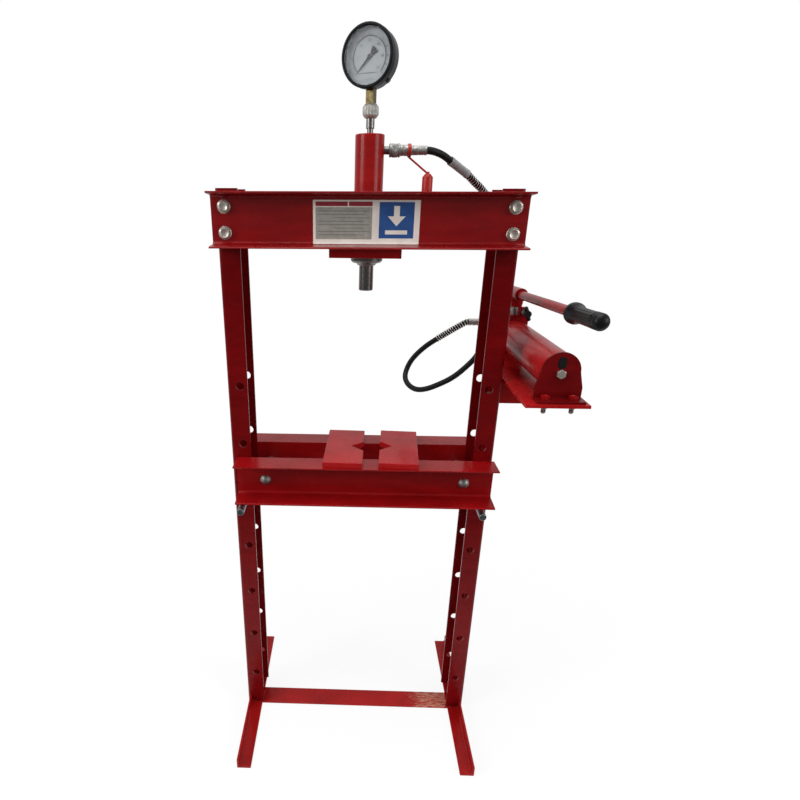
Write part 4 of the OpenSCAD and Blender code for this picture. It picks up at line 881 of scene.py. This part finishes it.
def box(x0, x1, y0, y1, z0, z1):
    """A plain block between its limits in mm."""
    return slab([(x0, y0), (x1, y0), (x1, y1), (x0, y1)], z0, z1)


def rib(r0, r1, half, z0, z1, lead=0.8):
    """A small ridge on a turned part, pointed at both ends."""
    sunk = r0 - 0.3
    ends = [(r0, z0), (r1, z0 + lead), (r1, z1 - lead), (r0, z1)]
    return loft([[Vector((x, y, z)) * MM for x, y in
                  ((sunk, -half), (r0, -half), (r, 0), (r0, half), (sunk, half))] for r, z in ends])


def repeated(mesh, count, material, start=0.0, sweep=360.0):
    """Copies of a mark about the vertical, in degrees, as one mesh."""
    return grown_from(mesh, carrier_of("marks", [(0, 0, 0)]), round_tree, "mark", count=count,
                      start=math.radians(start), sweep=math.radians(sweep), material=material)


def moved(x, y, z):
    """The matrix of a move in mm."""
    return Matrix.Translation(Vector((x, y, z)) * MM)


def tilted(degrees, axis):
    """The matrix of a turn about an axis."""
    return Matrix.Rotation(math.radians(degrees), 4, axis)


# %% Coupler and swivel nut
coupler_mesh = join(
    turned([(6.1, 0), (9, 0), (10, 1), (10, 2.6), (9.1, 3), (9.1, 3.6), (9.6, 4), (9.6, 13), (9.1, 13.4),
            (9.1, 14), (10, 14.4), (10, 16), (9, 17), (8, 17.4), (8, 21), (7.5, 21.4), (7.5, 22.6), (8, 23),
            (8, 34.4), (7.4, 35), (5, 35)], closed=True),
    repeated(rib(9.55, 10.0, 0.55, 4.2, 12.8), 44, zinc_plate))
coupler_mesh.transform(moved(31, 0, 1125) @ tilted(90, "Y"))
piece("coupler_knurled", smooth(coupler_mesh), zinc_plate, "frame", "coupler")

swivel_mesh = join(
    turned([(6.1, 0), (8.8, 0), (9.4, 0.4), (11.7, 3.6), (11.9, 4.6), (11.9, 14.4), (11.7, 15.4), (9.4, 18.6),
            (8.8, 19), (6.1, 19)], closed=True),
    repeated(rib(11.8, 12.5, 1.0, 3.4, 15.6, 1.2), 20, knurl_zinc))
swivel_mesh.transform(moved(0, 0, 1169))
piece("swivel_nut_ribbed", smooth(swivel_mesh), knurl_zinc, "frame", "gauge_nut")
print("knurled parts: 2")

# %% Dial and pointer
# Drawn flat, looked at from in front and with the zero mark at the lower left, then laid in the gauge.
GAUGE = moved(0, 0, 1247) @ tilted(-25, "Z") @ tilted(90, "X")
INK = (9.82, 9.92)
SCALE_START, SCALE_SWEEP = 225, -270
TICK_R, TICK_END_R, LONG_TICK_END_R = 26.6, 29.2, 30.6
SMALL_STEPS, LARGE_STEPS, NUMBERS = 60, 12, 7
NUMBER_R, NUMBER_SIZE = 20.2, 5.4


def band(r0, r1, start, end, steps=60):
    """A printed arc on the dial, angles in degrees."""
    rings = []
    for k in range(steps + 1):
        a = start + (end - start) * k / steps
        rings.append([Vector((*polar(r, a), z)) * MM for r, z in
                      ((r0, INK[0]), (r1, INK[0]), (r1, INK[1]), (r0, INK[1]))])
    return loft(rings)


def ticks(steps, end_r, half):
    """Scale marks from the first to the last step."""
    return repeated(box(TICK_R, end_r, -half, half, *INK), steps + 1, dial_ink, SCALE_START,
                    SCALE_SWEEP * (steps + 1) / steps)


def figure(words, size, x, y):
    """A plain printed figure on the dial."""
    text = bpy.data.curves.new("figure", "FONT")
    text.body, text.size = words, size * MM
    text.align_x, text.align_y = "CENTER", "CENTER"
    text.extrude = (INK[1] - INK[0]) / 2 * MM
    mesh = baked(placed("figure", text))
    mesh.transform(moved(x, y, sum(INK) / 2))
    return mesh


print_marks = [ticks(SMALL_STEPS, TICK_END_R, 0.2), ticks(LARGE_STEPS, LONG_TICK_END_R, 0.45),
               band(25.6, 26.7, SCALE_START, SCALE_START + SCALE_SWEEP),
               box(-15, 13, -20.4, -19.5, *INK), box(-7, 7, -28.6, -27.9, *INK)]
for k in range(NUMBERS):
    at = polar(NUMBER_R, SCALE_START + SCALE_SWEEP / (NUMBERS - 1) * k)
    print_marks.append(figure(str(10 * k), NUMBER_SIZE, *at))
dial_print = join(*print_marks)
dial_print.transform(GAUGE)
piece("dial_scale", dial_print, dial_ink, "frame")

pointer = [(25.4, -0.4), (25.4, 0.4), (0, 1.5), (-4, 1.4), (-13.5, 5.8), (-14.4, 0), (-13.5, -5.8),
           (-4, -1.4), (0, -1.5)]
needle = join(slab(pointer, 11.4, 12.1), turned([(3, 10.6), (3, 12.6), (2.4, 12.9), (PIN_POINT, 12.9)]),
              turned([(1.5, -6.7), (1.5, 11.5)], 24))
needle.transform(GAUGE @ tilted(SCALE_START, "Z"))
piece("pointer_needle", smooth(needle), dial_ink, "gauge_needle", "gauge_pointer")
print("scale marks:", len(print_marks))

# %% [markdown]
# ## Sticker on the front beam
# A vinyl sticker covers the middle of the front beam's web and creeps down over the root of the lower
# flange. It is kept plain: a pale sheet with a red bar, a grey field with ruled lines, and a blue square
# with an arrow that presses on a bar. The sheet follows the beam's section, so it is lofted along x.

# %% Sticker
WEB_FACE, ROOT, FILLET = -45.0, 993.0, 5.0
LEFT, RIGHT_END, TOP = -87.5, 81.0, 1053.5
FRONT_GAP, BACK_GAP = 0.25, 0.03
PRINT, OVERPRINT = (0, 0.10), (0, 0.14)

curl = [-15, -30, -45, -58]
line = [(WEB_FACE, TOP, 0), (WEB_FACE, ROOT, 0)] + [
    (WEB_FACE - FILLET + FILLET * math.cos(math.radians(a)), ROOT + FILLET * math.sin(math.radians(a)), a)
    for a in curl]


def off_the_beam(gap):
    """The sticker's line at a distance from the steel."""
    return [(y - gap * math.cos(math.radians(a)), z - gap * math.sin(math.radians(a))) for y, z, a in line]


section = off_the_beam(FRONT_GAP) + off_the_beam(BACK_GAP)[::-1]
sheet_mesh = loft([[Vector((x, y, z)) * MM for y, z in section] for x in (LEFT, RIGHT_END)])
piece("sticker_sheet", smooth(sheet_mesh, 40), sticker_white, "frame")


def printed(name, material, *meshes):
    """Flat print on the sticker, drawn in x and z."""
    made = join(*meshes)
    made.transform(moved(0, WEB_FACE - 0.2, 0) @ tilted(90, "X"))
    piece(name, made, material, "frame")


rules = [box(-80 + 26 * (k % 3 == 2), 2 - 9 * (k % 2), z, z + 1.1, *OVERPRINT)
         for k, z in enumerate((1037, 1032, 1027, 1022, 1017, 1012, 1007, 1002))]
arrow = [(40, 1045), (49, 1045), (49, 1030), (58.5, 1030), (44.5, 1015.5), (30.5, 1030), (40, 1030)]
printed("sticker_field", sticker_grey, box(-83.5, 6, 996, 1043, *PRINT))
printed("sticker_red_bar", sticker_red,
        *[box(x0, x1, 1044.5, 1051, *PRINT) for x0, x1 in ((-83.5, -33), (-31, 6))])
printed("sticker_lines", sticker_ink, *rules)
printed("sticker_blue_square", sticker_blue, box(17, 72, 997.5, 1050.5, *PRINT))
printed("sticker_arrow", sticker_white, slab(arrow, *OVERPRINT), box(27, 62, 1003.5, 1009.5, *OVERPRINT))
print("sticker: %.0f mm wide" % (RIGHT_END - LEFT))

# %% [markdown]
# ## Grip and filler plug
# The grip is a rubber moulding pushed over the handle: a flared stop at the inner end, shallow flutes for
# the fingers and a rounded tip. Its radius changes with the angle as well as along its length, which a
# loft draws directly. The reservoir's filler is shut by an oblong rubber plug above the tie bolt, with a
# flange that lies on the end plate.

# %% Grip
LEVER = moved(PUMP_X, 212, 864) @ tilted(-2.6, "X") @ moved(0, 0, 20)
HANDLE_L, FLUTES = 476.0, 14


def grip_ring(s, r, flute, n=96):
    """Ring of the grip at a distance s from its tip, towards the lever's pivot."""
    ring = []
    for i in range(n):
        a = 2 * math.pi * i / n
        q = r - flute * (0.5 + 0.5 * math.cos(FLUTES * a)) ** 3
        ring.append(Vector((q * math.cos(a), s - HANDLE_L, q * math.sin(a))) * MM)
    return ring


tip = [(0, 0.1), (0.5, 4.2), (2, 7.9), (4.6, 10.6), (8, 11.9), (11, 12), (12, 11.4), (13.2, 11.4), (14.2, 12),
       (17, 12), (18, 11.4), (19.2, 11.4), (20.2, 12), (24, 12)]
hold = [(28, 11.9, 0.5), (40, 11.7, 0.6), (56, 11.6, 0.6), (72, 11.7, 0.6), (82, 11.9, 0.5)]
stop = [(88, 12.1), (93, 12.9), (97, 14.3), (100.5, 15.5), (103.5, 15.95), (109, 16), (111.5, 15.7),
        (113.3, 14.9), (114, 13.8), (114, 8.2), (111, 8.15)]
plain_tip, plain_stop = ([(s, r, 0) for s, r in rows] for rows in (tip, stop))
grip_mesh = loft([grip_ring(*row) for row in plain_tip + hold + plain_stop])
grip_mesh.transform(LEVER)
piece("grip_rubber", smooth(grip_mesh, 50), grip_rubber, "pump_lever", "handle_grip")
print("grip:", len(grip_mesh.polygons), "faces")

# %% Filler plug


def stadium(r, half, rise=0.0, n=40):
    """Oblong outline with round ends, its middle raised by rise."""
    turns = [2 * math.pi * (k + 0.5) / n for k in range(n)]
    return [(r * math.cos(a), rise + math.copysign(half, math.sin(a)) + r * math.sin(a)) for a in turns]


neck, flange, crown = stadium(3.7, 3.0), stadium(6.2, 3.4, 2.4), stadium(4.4, 3.4, 2.4)
plug_mesh = join(slab(neck, 0, 2.1), slab(flange, 2.0, 2.8), slab(crown, 2.7, 3.3))
plug_mesh.transform(moved(PUMP_X, -137, 820) @ tilted(90, "X"))
piece("filler_plug", smooth(plug_mesh), hose_rubber, "frame")
print("plug:", len(plug_mesh.polygons), "faces")

# %% [markdown]
# ## Weld beads
# Feet, crossbar, bracket and cylinder are welded, and a hand-laid bead looks like a row of overlapping coins under
# the paint. Geometry Nodes lay a flattened bead every couple of millimetres along the seams, each a
# little different in size, from a fixed seed.

# %% Bead tree
SMALLEST, LARGEST = 0.85, 1.15
bead_tree, given, out = shape_tree("weld_beads_on_seams", ("Bead", "Object"), ("Pitch", "Float"),
                                   ("Seed", "Int"))
seams = add(bead_tree, "GeometryNodeMeshToCurve", {"Mesh": given["Geometry"]})
steps = add(bead_tree, "GeometryNodeResampleCurve", {"Curve": seams.outputs[0], "Length": given["Pitch"]},
            mode="LENGTH")
tangent = add(bead_tree, "GeometryNodeInputTangent").outputs[0]
facing = add(bead_tree, "FunctionNodeAlignRotationToVector", {"Vector": tangent}, axis="Z")
size = add(bead_tree, "FunctionNodeRandomValue", {"Min": SMALLEST, "Max": LARGEST, "Seed": given["Seed"]},
           data_type="FLOAT")
copies = copies_on(bead_tree, steps.outputs[0], given["Bead"], Rotation=facing.outputs[0],
                   Scale=[s for s in size.outputs if s.type == "VALUE"][0])
close_tree(bead_tree, copies, given["Material"], out)
print("bead tree:", len(bead_tree.nodes), "nodes")

# %% Beads
BEAD_R, BEAD_FLAT, BEAD_PITCH, BEAD_SEED = 1.9, 0.62, 2.1, 7
COLLAR_R, COLLAR_Z = 23.4, 983.2

work = bmesh.new()
bmesh.ops.create_icosphere(work, subdivisions=2, radius=BEAD_R * MM,
                           matrix=Matrix.Diagonal((1.0, 1.0, BEAD_FLAT, 1.0)))
bead_mesh = bpy.data.meshes.new("bead")
work.to_mesh(bead_mesh)
work.free()
bead_faces = len(bead_mesh.polygons)
foot_seams = [[(s * 212, y, 4.4), (s * 237, y, 4.4)] for s in (-1, 1) for y in (-40.2, 40.2)]
bar_seams = [[(s * 211, -39.5, 3.6), (s * 211, 3.5, 3.6)] for s in (-1, 1)]
shelf_seams = [[(251, y, 757.6), (338, y, 757.6)] for y in (-2.7, 2.7)]
gusset_seam = [(249.3, -2.2, 715), (249.3, -2.2, 757)]
collar_seam = [(*polar(COLLAR_R, a), COLLAR_Z) for a in range(0, 361, 10)]
seam_points, seam_edges = [], []
for seam in foot_seams + bar_seams + shelf_seams + [gusset_seam, collar_seam]:
    first = len(seam_points)
    seam_points += seam
    seam_edges += [(first + i, first + i + 1) for i in range(len(seam) - 1)]
beads = grown_from(bead_mesh, carrier_of("seams", seam_points, seam_edges), bead_tree, "bead",
                   pitch=BEAD_PITCH * MM, seed=BEAD_SEED, material=frame_red)
piece("weld_beads", smooth(beads, 60), frame_red, "frame")
print("weld beads:", len(beads.polygons) // bead_faces)
